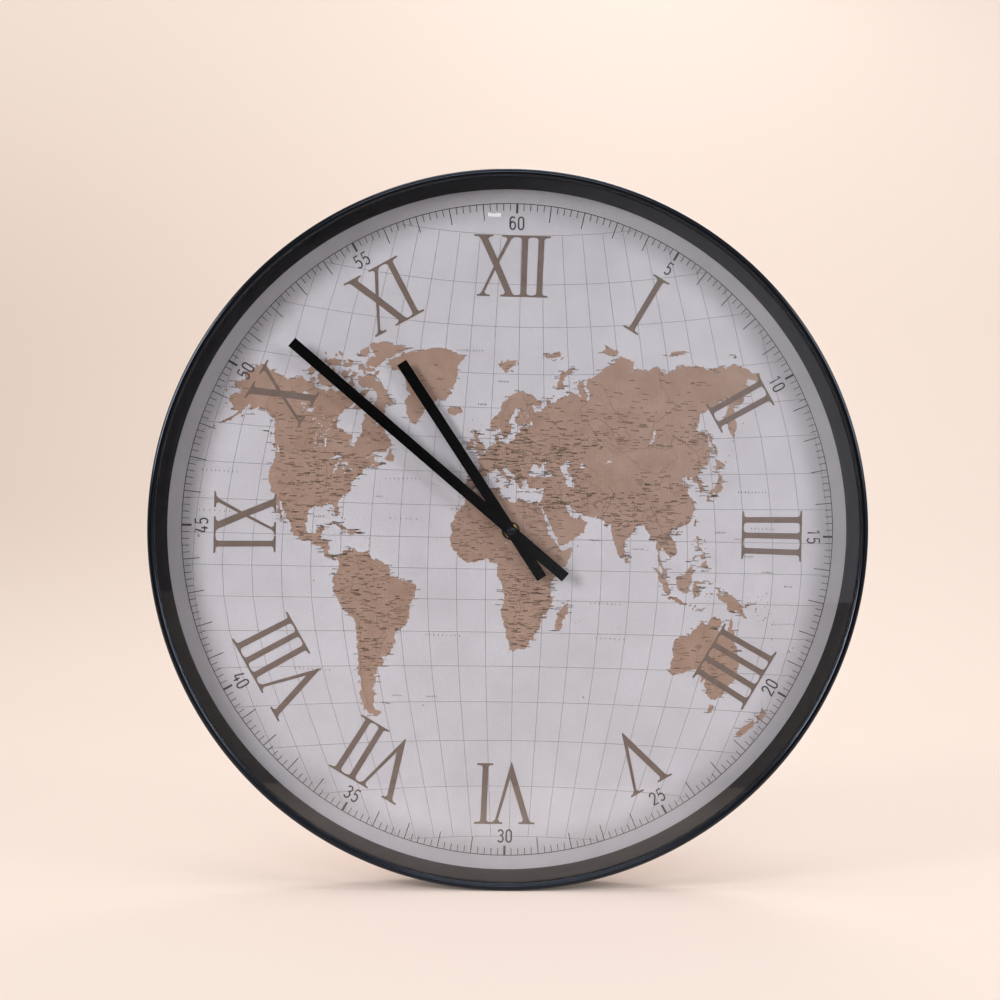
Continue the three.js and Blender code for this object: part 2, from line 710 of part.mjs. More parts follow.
function addCover() {
  const bossDiameter = PIVOT_DIAMETER + 2 * BOSS_WALL;
  const settingBoss = SETTING_ARBOR_DIAMETER + 2 * BOSS_WALL;
  const bottom = partitionBottom + FIT_GAP;
  const plate = block([-housingOuter, housingOuter], [coverFront, MOVEMENT_BACK_DEPTH], [bottom, outerTop]);
  const middle = (coverFront + MOVEMENT_BACK_DEPTH) / 2;
  let cover = plate.add(peg(settingBoss, coverFront + 2, middle, settingCentre));
  for (const place of [centre, thirdCentre, rotorCentre]) {
    cover = cover.add(peg(bossDiameter, bossFront, middle, place, 12)).subtract(pivotHole(place, bossFront, -1));
  }
  const bore = SETTING_ARBOR_DIAMETER + 2 * RUNNING_GAP;
  cover = cover.subtract(peg(bore, coverFront + 3, MOVEMENT_BACK_DEPTH - 1, settingCentre));
  addPiece("movement_cover", cover, plasticBlack);
}

// Cannon pinion, motion wheel, hour wheel and the setting work

function addMotionWork() {
  const wheelPhase = meshPhase(CANNON_TEETH, 0, MOTION_ANGLE, MOTION_WHEEL_TEETH);
  const hourPhase = meshPhase(MOTION_PINION_TEETH, 0, MOTION_ANGLE + 180, HOUR_WHEEL_TEETH);
  const settingPhase = meshPhase(MOTION_WHEEL_TEETH, wheelPhase, SETTING_ANGLE, SETTING_TEETH);
  const pinionFront = motionWheelFront + PINION_OVERHANG;
  const pinionBack = motionWheelBack - PINION_OVERHANG;

  const hourGear = slab(gearShape(HOUR_WHEEL_TEETH, MOTION_MODULE, hourPhase), hourWheelFront, hourWheelBack);
  const pipe = peg(HOUR_PIPE_DIAMETER, hourPipeFront, hourWheelBack, centre, 24);
  const pipeBore = peg(HOUR_PIPE_BORE, hourPipeFront + 1, hourWheelBack - 1, centre, 24);
  addPiece("hour_wheel", hourGear.add(pipe).subtract(pipeBore), gearWhite);

  const cannon = slab(gearShape(CANNON_TEETH, MOTION_MODULE, 0), pinionFront, pinionBack);
  const arborRadius = MINUTE_ARBOR_DIAMETER / 2;
  const pivot = PIVOT_DIAMETER / 2;
  const arbor = turned([
    [0, minuteArborFront],
    [arborRadius, minuteArborFront],
    [arborRadius, bossFront + RUNNING_GAP],
    [pivot, bossFront + RUNNING_GAP],
    [pivot, bossFront - PIVOT_LENGTH],
    [0, bossFront - PIVOT_LENGTH],
  ]);
  addPiece("minute_arbor", cannon.add(arbor), steel);

  const motionGear = slab(gearShape(MOTION_WHEEL_TEETH, MOTION_MODULE, wheelPhase), motionWheelFront, motionWheelBack);
  const hourMesh = [hourWheelFront + PINION_OVERHANG, motionWheelBack];
  const motionPinion = slab(gearShape(MOTION_PINION_TEETH, MOTION_MODULE, 0), ...hourMesh);
  const motionArbor = pivotedArbor(ARBOR_DIAMETER, floorBack, plateFront);
  addPiece("motion_wheel", motionGear.add(motionPinion).add(motionArbor), gearWhite, motionCentre);

  const knobFront = MOVEMENT_BACK_DEPTH - FIT_GAP;
  const knobBack = knobFront - KNOB_HEIGHT;
  const settingRadius = SETTING_ARBOR_DIAMETER / 2;
  const settingBack = knobBack + KNOB_HEIGHT / 3;
  const settingGear = slab(gearShape(SETTING_TEETH, MOTION_MODULE, settingPhase), pinionFront, pinionBack);
  const settingArbor = turned([
    [0, floorBack + PIVOT_LENGTH],
    [pivot, floorBack + PIVOT_LENGTH],
    [pivot, floorBack - RUNNING_GAP],
    [settingRadius, floorBack - RUNNING_GAP],
    [settingRadius, settingBack],
    [0, settingBack],
  ], 16);
  addPiece("setting_arbor", settingGear.add(settingArbor), gearWhite, settingCentre);

  const knobRadius = KNOB_DIAMETER / 2;
  const knob = turned([
    [0, knobFront],
    [knobRadius, knobFront],
    [knobRadius, knobBack + KNOB_HEIGHT * 0.15],
    [knobRadius * 0.9, knobBack],
    [0, knobBack],
  ], 2 * KNOB_FLUTES);
  const flute = peg(KNOB_DIAMETER * 0.12, knobFront + 1, knobBack - 1, { x: 0, z: knobRadius * 1.03 }, 6);
  let fluted = knob.subtract(peg(SETTING_ARBOR_DIAMETER + 2 * PRESS_GAP, knobFront + 1, settingBack - FIT_GAP));
  for (let i = 0; i < KNOB_FLUTES; i += 1) {
    fluted = fluted.subtract(turnedBy(flute, (i * 360) / KNOB_FLUTES));
  }
  addPiece("setting_knob", fluted, plasticBlack, settingCentre);
}

// Centre wheel and third wheel

function addTrain() {
  const centreGear = slab(gearShape(CENTRE_WHEEL_TEETH, TRAIN_MODULE, 0), centreWheelFront, centreWheelBack);
  const grip = peg(MINUTE_ARBOR_DIAMETER + 2 * PRESS_GAP, centreWheelFront + 1, centreWheelBack - 1, centre, 24);
  addPiece("centre_wheel", centreGear.subtract(grip), gearWhite);

  const pinionPhase = meshPhase(CENTRE_WHEEL_TEETH, 0, THIRD_ANGLE, THIRD_PINION_TEETH);
  const thirdGear = slab(gearShape(THIRD_WHEEL_TEETH, TRAIN_MODULE, 0), thirdWheelFront, thirdWheelBack);
  const pinionEnds = [centreWheelFront + PINION_OVERHANG, thirdWheelBack];
  const thirdPinion = slab(gearShape(THIRD_PINION_TEETH, TRAIN_MODULE, pinionPhase), ...pinionEnds);
  const thirdArbor = pivotedArbor(ARBOR_DIAMETER, plateBack, bossFront);
  addPiece("third_wheel", thirdGear.add(thirdPinion).add(thirdArbor), gearWhite, thirdCentre);
}

// Stepping motor: rotor, stator, core, bobbin and winding

function addMotor() {
  const rotorPhase = meshPhase(THIRD_WHEEL_TEETH, 0, ROTOR_ANGLE, ROTOR_TEETH);
  const pinionEnds = [thirdWheelFront + PINION_OVERHANG, thirdWheelBack - PINION_OVERHANG];
  const pinion = slab(gearShape(ROTOR_TEETH, TRAIN_MODULE, rotorPhase), ...pinionEnds);
  const arbor = pivotedArbor(ARBOR_DIAMETER, plateBack, bossFront);
  addPiece("rotor_pinion", pinion.add(arbor), gearWhite, rotorCentre);
  const magnetBore = ARBOR_DIAMETER + 2 * PRESS_GAP;
  addPiece("rotor_magnet", ring(ROTOR_MAGNET_DIAMETER, magnetBore, magnetFront, magnetBack), magnetGrey, rotorCentre);

  const hole = ROTOR_MAGNET_DIAMETER + 2 * ROTOR_AIR_GAP;
  const ringDiameter = hole + 2 * STATOR_RING_WIDTH;
  const layer = [stationaryBack, statorBack];
  const barTop = rotorCentre.z - STATOR_ARM / 2;
  const coreTop = coilZ + CORE_WIDTH / 2;
  const coreBottom = coilZ - CORE_WIDTH / 2;
  const stator = peg(ringDiameter, ...layer, rotorCentre, 32)
    .add(block([armLeft, rotorCentre.x], layer, [barTop - STATOR_ARM, barTop]))
    .add(block([armLeft, armLeft + STATOR_ARM], layer, [barTop - STATOR_ARM, coreTop]))
    .add(block([armRight - STATOR_ARM, armRight], layer, [coreBottom, coreTop]))
    .add(block([armRight - STATOR_ARM, rotorCentre.x], layer, [rotorCentre.z + hole / 2, coreTop]))
    .subtract(peg(hole, stationaryBack + 1, statorBack - 1, rotorCentre, 32));
  addPiece("stator_plate", stator, steel);

  const core = block([armLeft, armRight], [coreFront, coreBack], [coreBottom, coreTop]);
  addPiece("coil_core", core, steel);

  const along = (solid, left) => solid.rotate([0, 0, 90]).translate([left, -coilDepth, coilZ]);
  const tubeStart = coilLeft + COIL_FLANGE_THICKNESS;
  const tubeEnd = coilRight - COIL_FLANGE_THICKNESS;
  const halfFlange = COIL_FLANGE / 2;
  const flangeDepth = [coilDepth + halfFlange, coilDepth - halfFlange];
  const flangeHeight = [coilZ - halfFlange, coilZ + halfFlange];
  const bore = block(
    [coilLeft - 1, coilRight + 1],
    [coreFront + FIT_GAP / 2, coreBack - FIT_GAP / 2],
    [coreBottom - FIT_GAP / 2, coreTop + FIT_GAP / 2],
  );
  const bobbin = along(peg(COIL_TUBE_DIAMETER, COIL_LENGTH, 0, centre, 24), coilLeft)
    .add(block([coilLeft, tubeStart], flangeDepth, flangeHeight))
    .add(block([tubeEnd, coilRight], flangeDepth, flangeHeight))
    .subtract(bore);
  addPiece("coil_bobbin", bobbin, plasticBlack);

  const windingLength = tubeEnd - tubeStart - 2 * PRESS_GAP;
  const winding = ring(COIL_DIAMETER, COIL_TUBE_DIAMETER + 2 * PRESS_GAP, windingLength, 0);
  addPiece("coil_winding", along(winding, tubeStart + PRESS_GAP), copper);
}

// Circuit board with its crystal can and chip

function addElectronics() {
  const board = block(
    [pcbLeft, pcbLeft + PCB_WIDTH],
    [stationaryBack, pcbBack],
    [pcbBottom, pcbBottom + PCB_HEIGHT],
  );
  addPiece("circuit_board", board, boardGreen);

  const crystalX = pcbLeft + PCB_WIDTH * 0.4;
  const crystalDepth = pcbBack - PRESS_GAP - CRYSTAL_DIAMETER / 2;
  const crystal = peg(CRYSTAL_DIAMETER, CRYSTAL_LENGTH, 0, centre, 16).rotate([-90, 0, 0]);
  addPiece("quartz_crystal", crystal.translate([crystalX, -crystalDepth, pcbBottom + PCB_HEIGHT * 0.45]), steel);

  const chipRadius = CHIP_DIAMETER / 2;
  const chipBack = pcbBack - CHIP_HEIGHT;
  const chip = turned([[0, pcbBack], [chipRadius, pcbBack], [chipRadius * 0.7, chipBack], [0, chipBack]], 16);
  const chipPlace = { x: pcbLeft + PCB_WIDTH * 0.6, z: pcbBottom + PCB_HEIGHT * 0.22 };
  addPiece("chip_cover", chip, plasticBlack, chipPlace);
}

// AA cell and the two contact strips

function addCell() {
  const radius = BATTERY_DIAMETER / 2;
  const nub = BATTERY_NUB_DIAMETER / 2;
  const shoulder = BATTERY_LENGTH - BATTERY_NUB_HEIGHT;
  const cell = turned([
    [0, BATTERY_LENGTH],
    [nub, BATTERY_LENGTH],
    [nub, shoulder],
    [radius * 0.94, shoulder],
    [radius, shoulder - 1],
    [radius, 0],
    [0, 0],
  ], 24);
  const laid = cell.rotate([0, 0, 90]).translate([-BATTERY_LENGTH / 2, -batteryDepth, batteryZ]);
  addPiece("battery", laid, cellSilver);

  const near = BATTERY_LENGTH / 2 + FIT_GAP;
  const far = near + CONTACT_THICKNESS;
  const depths = [contactFront, contactBack];
  const low = bayBottom + FIT_GAP;
  const stripBottom = partitionTop + FIT_GAP;
  const stripTop = stripBottom + CONTACT_THICKNESS;
  const negative = block([-far, -near], depths, [low, pcbBottom + PCB_HEIGHT / 4]);
  addPiece("contact_negative", negative, steel);

  const leaf = block([near, far], depths, [low, stripTop]);
  const strip = block([pcbLeft + PCB_WIDTH / 2, far], depths, [stripBottom, stripTop]);
  addPiece("contact_positive", leaf.add(strip), steel);
}
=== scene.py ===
"""Looks of a world map wall clock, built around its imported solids.

Metres, +Z up, dial towards -Y. Sizes in the clock's classes are millimetres, those of the studio
metres; "depth" is the distance from the wall towards the room, so y = -depth.
"""
from __future__ import annotations

import logging
import math
import random
from dataclasses import dataclass, field
from enum import Enum
from functools import cache

import bmesh
import bpy
import numpy as np
from mathutils import Matrix, Vector
from mathutils.geometry import delaunay_2d_cdt


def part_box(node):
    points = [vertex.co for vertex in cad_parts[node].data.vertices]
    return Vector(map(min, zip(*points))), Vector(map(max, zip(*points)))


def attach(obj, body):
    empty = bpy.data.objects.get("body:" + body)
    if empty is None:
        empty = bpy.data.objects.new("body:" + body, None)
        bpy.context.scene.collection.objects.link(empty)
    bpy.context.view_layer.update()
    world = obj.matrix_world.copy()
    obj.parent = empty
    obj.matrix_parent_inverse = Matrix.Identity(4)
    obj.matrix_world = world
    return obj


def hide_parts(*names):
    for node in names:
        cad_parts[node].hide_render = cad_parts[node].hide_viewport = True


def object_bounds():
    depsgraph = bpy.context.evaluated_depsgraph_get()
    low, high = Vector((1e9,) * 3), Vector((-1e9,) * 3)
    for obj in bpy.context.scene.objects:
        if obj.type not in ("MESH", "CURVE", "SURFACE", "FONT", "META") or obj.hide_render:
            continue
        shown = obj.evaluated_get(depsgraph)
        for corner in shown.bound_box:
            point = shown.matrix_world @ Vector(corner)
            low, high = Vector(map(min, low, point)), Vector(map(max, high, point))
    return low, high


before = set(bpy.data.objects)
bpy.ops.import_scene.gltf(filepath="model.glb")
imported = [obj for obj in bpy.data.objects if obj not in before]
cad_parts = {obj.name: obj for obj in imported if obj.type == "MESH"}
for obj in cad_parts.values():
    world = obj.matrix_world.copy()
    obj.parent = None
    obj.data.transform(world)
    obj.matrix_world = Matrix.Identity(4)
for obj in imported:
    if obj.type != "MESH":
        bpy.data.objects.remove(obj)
CAD_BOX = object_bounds()
MM = 0.001
LOG = logging.getLogger("world_map_clock")
Point = tuple[float, float]
Line = list[Point]
Spot = tuple[float, float, float]
Ramp = tuple[float, float, float, float]
Tree = bpy.types.NodeTree
Socket = bpy.types.NodeSocket
Shape = bmesh.types.BMesh


class Body(str, Enum):
    """The moving bodies that pieces ride on."""

    CASE = "case"
    MINUTE = "minute_train"
    HOUR = "hour_train"
    SETTING = "setting_work"


def srgb(code: str) -> tuple[float, float, float, float]:
    """Linear colour of an sRGB hex value.

    Args:
        code: Six hex digits.

    Returns:
        Red, green, blue and an alpha of one.
    """
    parts = [int(code[i:i + 2], 16) / 255 for i in (0, 2, 4)]
    linear = [p / 12.92 if p <= 0.04045 else ((p + 0.055) / 1.055) ** 2.4 for p in parts]
    return linear[0], linear[1], linear[2], 1.0


def add_node(tree: Tree, kind: str, inputs: dict | list | tuple = (),
             settings: dict | None = None) -> bpy.types.NodeOutputs:
    """Adds one node with its settings, constants and links.

    Args:
        tree: The tree that gets the node.
        kind: The node's type name.
        inputs: A constant or an output to link for each socket, by name or number or in order.
        settings: Properties of the node.

    Returns:
        The new node's outputs.
    """
    node = tree.nodes.new(kind)
    for key, value in (settings or {}).items():
        setattr(node, key, value)
    for socket, value in inputs.items() if isinstance(inputs, dict) else enumerate(inputs):
        if isinstance(value, Socket):
            tree.links.new(value, node.inputs[socket])
        else:
            node.inputs[socket].default_value = value
    return node.outputs


def cleared(owner: bpy.types.Material | bpy.types.World) -> Tree:
    """Empties the node tree of a material or a world.

    Args:
        owner: What the tree belongs to.

    Returns:
        The empty tree.
    """
    owner.use_nodes = True
    owner.node_tree.nodes.clear()
    return owner.node_tree


def per_mm(size: float) -> float:
    """Noise scale whose patches are about that many millimetres wide."""
    return 1 / (size * MM)


def bands_per_mm(spacing: float) -> float:
    """Wave scale whose bands repeat at that spacing in millimetres."""
    return math.tau / 20 / (spacing * MM)


# Settings of the nodes that repeat
COLOURS = {"data_type": "RGBA"}
SMOOTH = {"interpolation_type": "SMOOTHSTEP"}
TIMES = {"operation": "MULTIPLY"}
GREATER = {"operation": "MAXIMUM"}


# Finishes

@dataclass(frozen=True)
class Finish:
    """A surface with soft colour patches, an uneven gloss and a fine relief."""

    name: str
    colour: str
    shade: str
    roughness: float
    patch_mm: float = 25.0
    grain_mm: float = 0.8
    relief_mm: float = 0.01
    gloss_swing: float = 0.06
    metallic: float = 0.0
    coat: float = 0.0
    specular: float = 0.5
    gleam: str = "FFFFFF"
    patch_detail: float = 5.0
    patch_break: float = 0.6
    grain_detail: float = 3.0
    gloss_span: Point = (0.25, 0.75)
    tone_span: Point = (0.3, 0.7)
    least_roughness: float = 0.02
    coat_roughness: float = 0.12

    def make(self) -> bpy.types.Material:
        """Builds the material's nodes.

        Returns:
            The material.
        """
        material = bpy.data.materials.new(self.name)
        tree = cleared(material)
        place = add_node(tree, "ShaderNodeTexCoord")["Object"]
        patches = add_node(tree, "ShaderNodeTexNoise", {
            "Vector": place, "Scale": per_mm(self.patch_mm), "Detail": self.patch_detail,
            "Roughness": self.patch_break})[0]
        glossiest = max(self.roughness - self.gloss_swing, self.least_roughness)
        dullest = min(self.roughness + self.gloss_swing, 1.0)
        gloss = add_node(tree, "ShaderNodeMapRange", (
            patches, *self.gloss_span, glossiest, dullest))
        height = self.relief(tree, place)
        bump = add_node(tree, "ShaderNodeBump", {
            "Strength": 1.0, "Distance": self.relief_mm * MM, "Height": height})
        shader = add_node(tree, "ShaderNodeBsdfPrincipled", {
            "Base Color": self.tone(tree, place, patches, height),
            "Roughness": gloss[0], "Metallic": self.metallic, "Coat Weight": self.coat,
            "Coat Roughness": self.coat_roughness, "Specular IOR Level": self.specular,
            "Specular Tint": srgb(self.gleam), "Normal": bump[0]})
        add_node(tree, "ShaderNodeOutputMaterial", {"Surface": shader[0]})
        return material

    def relief(self, tree: Tree, place: Socket) -> Socket:
        """Height of the finest grain, from nought to one."""
        return add_node(tree, "ShaderNodeTexNoise", {
            "Vector": place, "Scale": per_mm(self.grain_mm), "Detail": self.grain_detail})[0]

    def tone(self, tree: Tree, place: Socket, patches: Socket, height: Socket) -> Socket:
        """Colour that drifts between the finish's two tones; others use the relief's height too."""
        drift = add_node(tree, "ShaderNodeMapRange", (patches, *self.tone_span, 0.0, 1.0))
        return add_node(tree, "ShaderNodeMix", {
            0: drift[0], 6: srgb(self.colour), 7: srgb(self.shade)}, COLOURS)[2]


@dataclass(frozen=True)
class LinenStock(Finish):
    """Uncoated paper embossed with a linen weave, bare or printed.

    The threads show in relief and in tone, the tone being painted shade in their valleys. A margin, in
    metres from the dial's axis, may be greyed with painted shade for the shadow of the rim.
    """

    relief_mm: float = 0.03
    specular: float = 0.25
    tone_span: Point = (0.35, 0.75)
    age_tone: float = 0.65
    thread_mm: float = 2.1
    weft_share: float = 0.85
    # Depth of the painted shade in the thread valleys
    thread_tone: float = 0.35
    thread_wander: float = 3.0
    thread_detail: float = 3.0
    wander_scale: float = 1.6
    valley_span: Point = (0.2, 1.0)
    # Painted shade: how strongly and where the margin by the rim is greyed, for the rim's shadow
    margin: float = 0.0
    margin_span: Point = (0.25, 0.275)
    margin_grey: str = "5E585A"

    def relief(self, tree: Tree, place: Socket) -> Socket:
        """Crossed threads; real ones are 0.5 mm apart, drawn coarser so that they show.

        Args:
            tree: The material's tree.
            place: Object coordinates.

        Returns:
            The higher of the two thread directions.
        """
        threads = []
        for direction, spacing in (("X", self.thread_mm), ("Z", self.thread_mm * self.weft_share)):
            threads.append(add_node(tree, "ShaderNodeTexWave", {
                "Vector": place, "Scale": bands_per_mm(spacing), "Distortion": self.thread_wander,
                "Detail": self.thread_detail, "Detail Scale": self.wander_scale
            }, {"bands_direction": direction})[1])
        return add_node(tree, "ShaderNodeMath", threads, GREATER)[0]

    def tone(self, tree: Tree, place: Socket, patches: Socket, height: Socket) -> Socket:
        """Patches of age, with the thread valleys a little darker as painted shade, and painted rim
        shade.

        Args:
            tree: The material's tree.
            place: Object coordinates.
            patches: The soft patches.
            height: The weave.

        Returns:
            The colour socket.
        """
        # Painted shade: the valleys between the threads are darkened
        valley_shade = add_node(tree, "ShaderNodeMapRange", (
            height, *self.valley_span, self.thread_tone, 0.0))
        drift = add_node(tree, "ShaderNodeMapRange", (patches, *self.tone_span, 0.0, self.age_tone))
        both = add_node(tree, "ShaderNodeMath", (
            valley_shade[0], drift[0]), {"operation": "ADD", "use_clamp": True})
        sheet = add_node(tree, "ShaderNodeMix", {
            0: both[0], 6: srgb(self.colour), 7: srgb(self.shade)}, COLOURS)[2]
        if not self.margin:
            return sheet
        # Painted shade: the margin greys towards the rim, standing in for the rim's shadow
        centred = add_node(tree, "ShaderNodeVectorMath", (
            place, (1.0, 0.0, 1.0), (0.0, 0.0, -DIAL.axis_z)), {"operation": "MULTIPLY_ADD"})
        radius = add_node(tree, "ShaderNodeVectorMath", (centred[0],), {"operation": "LENGTH"})
        painted_margin_shade = add_node(tree, "ShaderNodeMapRange", (
            radius["Value"], *self.margin_span, 0.0, self.margin), SMOOTH)
        return add_node(tree, "ShaderNodeMix", {
            0: painted_margin_shade[0], 6: sheet, 7: srgb(self.margin_grey)}, COLOURS)[2]


@dataclass(frozen=True)
class ScreenBackBoard(Finish):
    """Wet-pressed hardboard: the wire screen leaves a waffle on the back face."""

    screen_mm: float = 3.0
    screen_wander: float = 0.6

    def relief(self, tree: Tree, place: Socket) -> Socket:
        """Height of the waffle; the real mesh is 1.5 mm, drawn coarser so that it shows."""
        wires = [add_node(tree, "ShaderNodeTexWave", {
            "Vector": place, "Scale": bands_per_mm(self.screen_mm), "Distortion": self.screen_wander
        }, {"bands_direction": direction})[1] for direction in ("X", "Z")]
        return add_node(tree, "ShaderNodeMath", wires, TIMES)[0]


@dataclass(frozen=True)
class DrawnMetal(Finish):
    """Metal with fine lines from rolling or turning: along X, or rings about the dial axis."""

    relief_mm: float = 0.004
    metallic: float = 1.0
    rings: bool = False
    line_mm: float = 0.35
    line_share: float = 0.04
    line_detail: float = 2.0
    ring_wander: float = 0.8

    def relief(self, tree: Tree, place: Socket) -> Socket:
        """Rolling lines or turning rings.

        Args:
            tree: The material's tree.
            place: Object coordinates.

        Returns:
            The lines' height.
        """
        if self.rings:
            centred = add_node(tree, "ShaderNodeMapping", {
                "Vector": place, "Location": (0.0, 0.0, -DIAL.axis_z)})
            rings = {"wave_type": "RINGS", "rings_direction": "Y"}
            return add_node(tree, "ShaderNodeTexWave", {
                "Vector": centred[0], "Scale": bands_per_mm(self.line_mm),
                "Distortion": self.ring_wander}, rings)[1]
        drawn = add_node(tree, "ShaderNodeMapping", {
            "Vector": place, "Scale": (self.line_share, 1.0, 1.0)})
        return add_node(tree, "ShaderNodeTexNoise", {
            "Vector": drawn[0], "Scale": per_mm(self.line_mm), "Detail": self.line_detail})[0]


@dataclass(frozen=True)
class WoundWire(Finish):
    """Enamelled wire in close turns: even ridges along the coil."""

    turn_mm: float = 0.4
    turn_wander: float = 0.3

    def relief(self, tree: Tree, place: Socket) -> Socket:
        """Height of the turns; real wire is 0.05 mm, drawn coarser so that it shows."""
        return add_node(tree, "ShaderNodeTexWave", {
            "Vector": place, "Scale": bands_per_mm(self.turn_mm), "Distortion": self.turn_wander
        }, {"bands_direction": "X"})[1]


@dataclass(frozen=True)
class ShrinkSleeve(Finish):
    """Metallised film shrunk round a cell: a dark sleeve with a copper-coloured band at one end."""

    band: str = "B9793A"
    band_from: float = 0.011

    def tone(self, tree: Tree, place: Socket, patches: Socket, height: Socket) -> Socket:
        """Sleeve colour with its band.

        Args:
            tree: The material's tree.
            place: Object coordinates.
            patches: The soft patches.
            height: The film's grain.

        Returns:
            The colour socket.
        """
        sleeve = super().tone(tree, place, patches, height)
        along = add_node(tree, "ShaderNodeSeparateXYZ", (place,))
        edge = add_node(tree, "ShaderNodeMath", (
            along[0], -self.band_from), {"operation": "LESS_THAN"})
        return add_node(tree, "ShaderNodeMix", {
            0: edge[0], 6: sleeve, 7: srgb(self.band)}, COLOURS)[2]


@dataclass(frozen=True)
class FloatGlass(Finish):
    """Clear float glass with a faint grey-green body; lamps pass it, so the dial stays lit."""

    refraction: float = 1.5

    def make(self) -> bpy.types.Material:
        """Builds the glass.

        Returns:
            The material.
        """
        material = bpy.data.materials.new(self.name)
        tree = cleared(material)
        glass = add_node(tree, "ShaderNodeBsdfPrincipled", {
            "Base Color": srgb(self.colour), "Roughness": self.roughness, "IOR": self.refraction,
            "Transmission Weight": 1.0})
        clear = add_node(tree, "ShaderNodeBsdfTransparent", {"Color": srgb(self.colour)})
        path = add_node(tree, "ShaderNodeLightPath")
        lamps = add_node(tree, "ShaderNodeMath", (
            path["Is Shadow Ray"], path["Is Diffuse Ray"]), GREATER)
        through = add_node(tree, "ShaderNodeMixShader", (lamps[0], glass[0], clear[0]))
        add_node(tree, "ShaderNodeOutputMaterial", {"Surface": through[0]})
        return material


@cache
def material_of(finish: Finish) -> bpy.types.Material:
    """The finish's material, made once."""
    return finish.make()


# Stoved enamel on steel: a deep blue-black with a slight orange peel that softens its highlights
ENAMEL_BLACK = Finish("black_stoved_enamel", "090B0F", "050709", 0.16, 60.0, 7.0, 0.006, 0.04,
                      specular=0.55, gleam="C2D0E8")
# Matt emulsion on a card wall: dull, a little dusty
WALL_PAINT = Finish("matt_grey_wall_paint", "1A171B", "0F0D10", 0.4, 14.0, 0.9, 0.02, 0.12,
                    specular=0.15)
# Float glass: clear and even, with a faint grey-green cast
GLASS = FloatGlass("clear_float_glass", "F6FAF9", "F6FAF9", 0.0)
# Linen-embossed paper: pale lilac grey, faint threads, patches of age, painted rim shade on its margin
PAPER = LinenStock("linen_paper", "DDD4DE", "C9BFC8", 0.88, 55.0, relief_mm=0.05, margin=0.28)
# Offset inks on the same paper, so the weave carries on through the colour
LAND_INK = LinenStock("brown_offset_ink", "B79588", "A28071", 0.85, 16.0, relief_mm=0.05)
NUMERAL_INK = LinenStock("taupe_offset_ink", "84706A", "735F5A", 0.82, 12.0, relief_mm=0.04)
TRACK_INK = LinenStock("grey_black_offset_ink", "4F464A", "5E5457", 0.82, 10.0)
GRID_INK = LinenStock("pale_grey_offset_ink", "938B92", "A39BA1", 0.85, 12.0)
LINE_INK = LinenStock("umber_offset_ink", "957867", "886C5D", 0.85, 9.0)
MARK_INK = LinenStock("dark_umber_offset_ink", "5C4A40", "6D594D", 0.85, 9.0)
# Hardboard: warm brown fibre with a screen back
BOARD = ScreenBackBoard("screen_back_hardboard", "7A5A3E", "5F4530", 0.85, 9.0,
                        relief_mm=0.12, specular=0.3)
# Zinc plate over cold-rolled sheet: bluish silver with rolling lines and uneven gloss
ZINC = DrawnMetal("zinc_plated_steel", "B9BDC4", "9DA2A9", 0.34, 7.0, gloss_swing=0.1)
# Bare brass turned on a lathe: warm yellow with fine rings
BRASS = DrawnMetal("turned_brass", "C79A52", "AE8340", 0.3, 5.0, rings=True)
# The same brass painted darker for the shade under the hands: a dull brown on which the rings still
# show
SHADE_DARKENED_BRASS = DrawnMetal("shade_darkened_brass", "473F32", "393228", 0.38, 5.0, rings=True)
# Matt enamel on stamped aluminium: soft black with a fine tooth
HAND_ENAMEL = Finish("matt_black_enamel", "060506", "090808", 0.74, 30.0, 0.5, 0.006, specular=0.02)
# Moulded rubber: dull dark grey with hardly a highlight
RUBBER = Finish("moulded_rubber", "1C1B1B", "262424", 0.92, 6.0, 0.5, 0.02)
# Moulded ABS with a spark-eroded texture: a dull black that scatters light
ABS = Finish("moulded_abs", "202124", "292A2D", 0.56, 18.0, 0.45, 0.02, 0.07)
# Moulded acetal: waxy off-white
ACETAL = Finish("moulded_acetal", "E6E2D6", "D6D1C2", 0.42, 6.0, 0.5, 0.004)
# Sintered magnet: dark grey metal with a fine grain
MAGNET = Finish("sintered_magnet", "4C4E53", "3E4045", 0.45, 3.0, 0.3, 0.006, metallic=0.8)
# Enamelled copper wire: reddish, with a bright line along every turn
COPPER = WoundWire("enamelled_copper_wire", "A9582A", "8C4520", 0.32, 3.0,
                   relief_mm=0.06, metallic=0.9)
# Solder mask over glass fibre: clear green with a faint weave
MASK = Finish("green_solder_mask", "1F6B3D", "175A32", 0.38, 2.5, 0.6, 0.004, coat=0.3)
# Metallised film shrunk on tight: a dark sheen with a copper-coloured band
SLEEVE = ShrinkSleeve("metallised_shrink_film", "2B2D33", "23252A", 0.33, 12.0, 1.2, 0.003,
                      metallic=0.55)


# Shared making

@dataclass(frozen=True)
class DialPlane:
    """Where the dial's axis stands and how deep its printed face lies, in metres."""

    axis_z: float
    face: float
    scale: float = 0.9917

    def laid(self, turn: float) -> Matrix:
        """Matrix that lays a flat drawing on the dial.

        Args:
            turn: Clockwise turn in degrees, seen from the room.

        Returns:
            The matrix from drawing metres to the frame.
        """
        place = Matrix.Translation((0.0, -self.face, self.axis_z))
        upright = Matrix.Rotation(math.pi / 2, 4, "X")
        size = Matrix.Diagonal((self.scale, self.scale, 1.0, 1.0))
        return place @ upright @ Matrix.Rotation(-math.radians(turn), 4, "Z") @ size


SHEET_LOW, SHEET_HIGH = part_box("dial_sheet")
DIAL = DialPlane((SHEET_LOW.z + SHEET_HIGH.z) / 2, -SHEET_LOW.y)
# Points this near are one, in metres: in new shapes, and in copies of the solids
MERGE = 1e-7
SOLID_MERGE = 2e-6
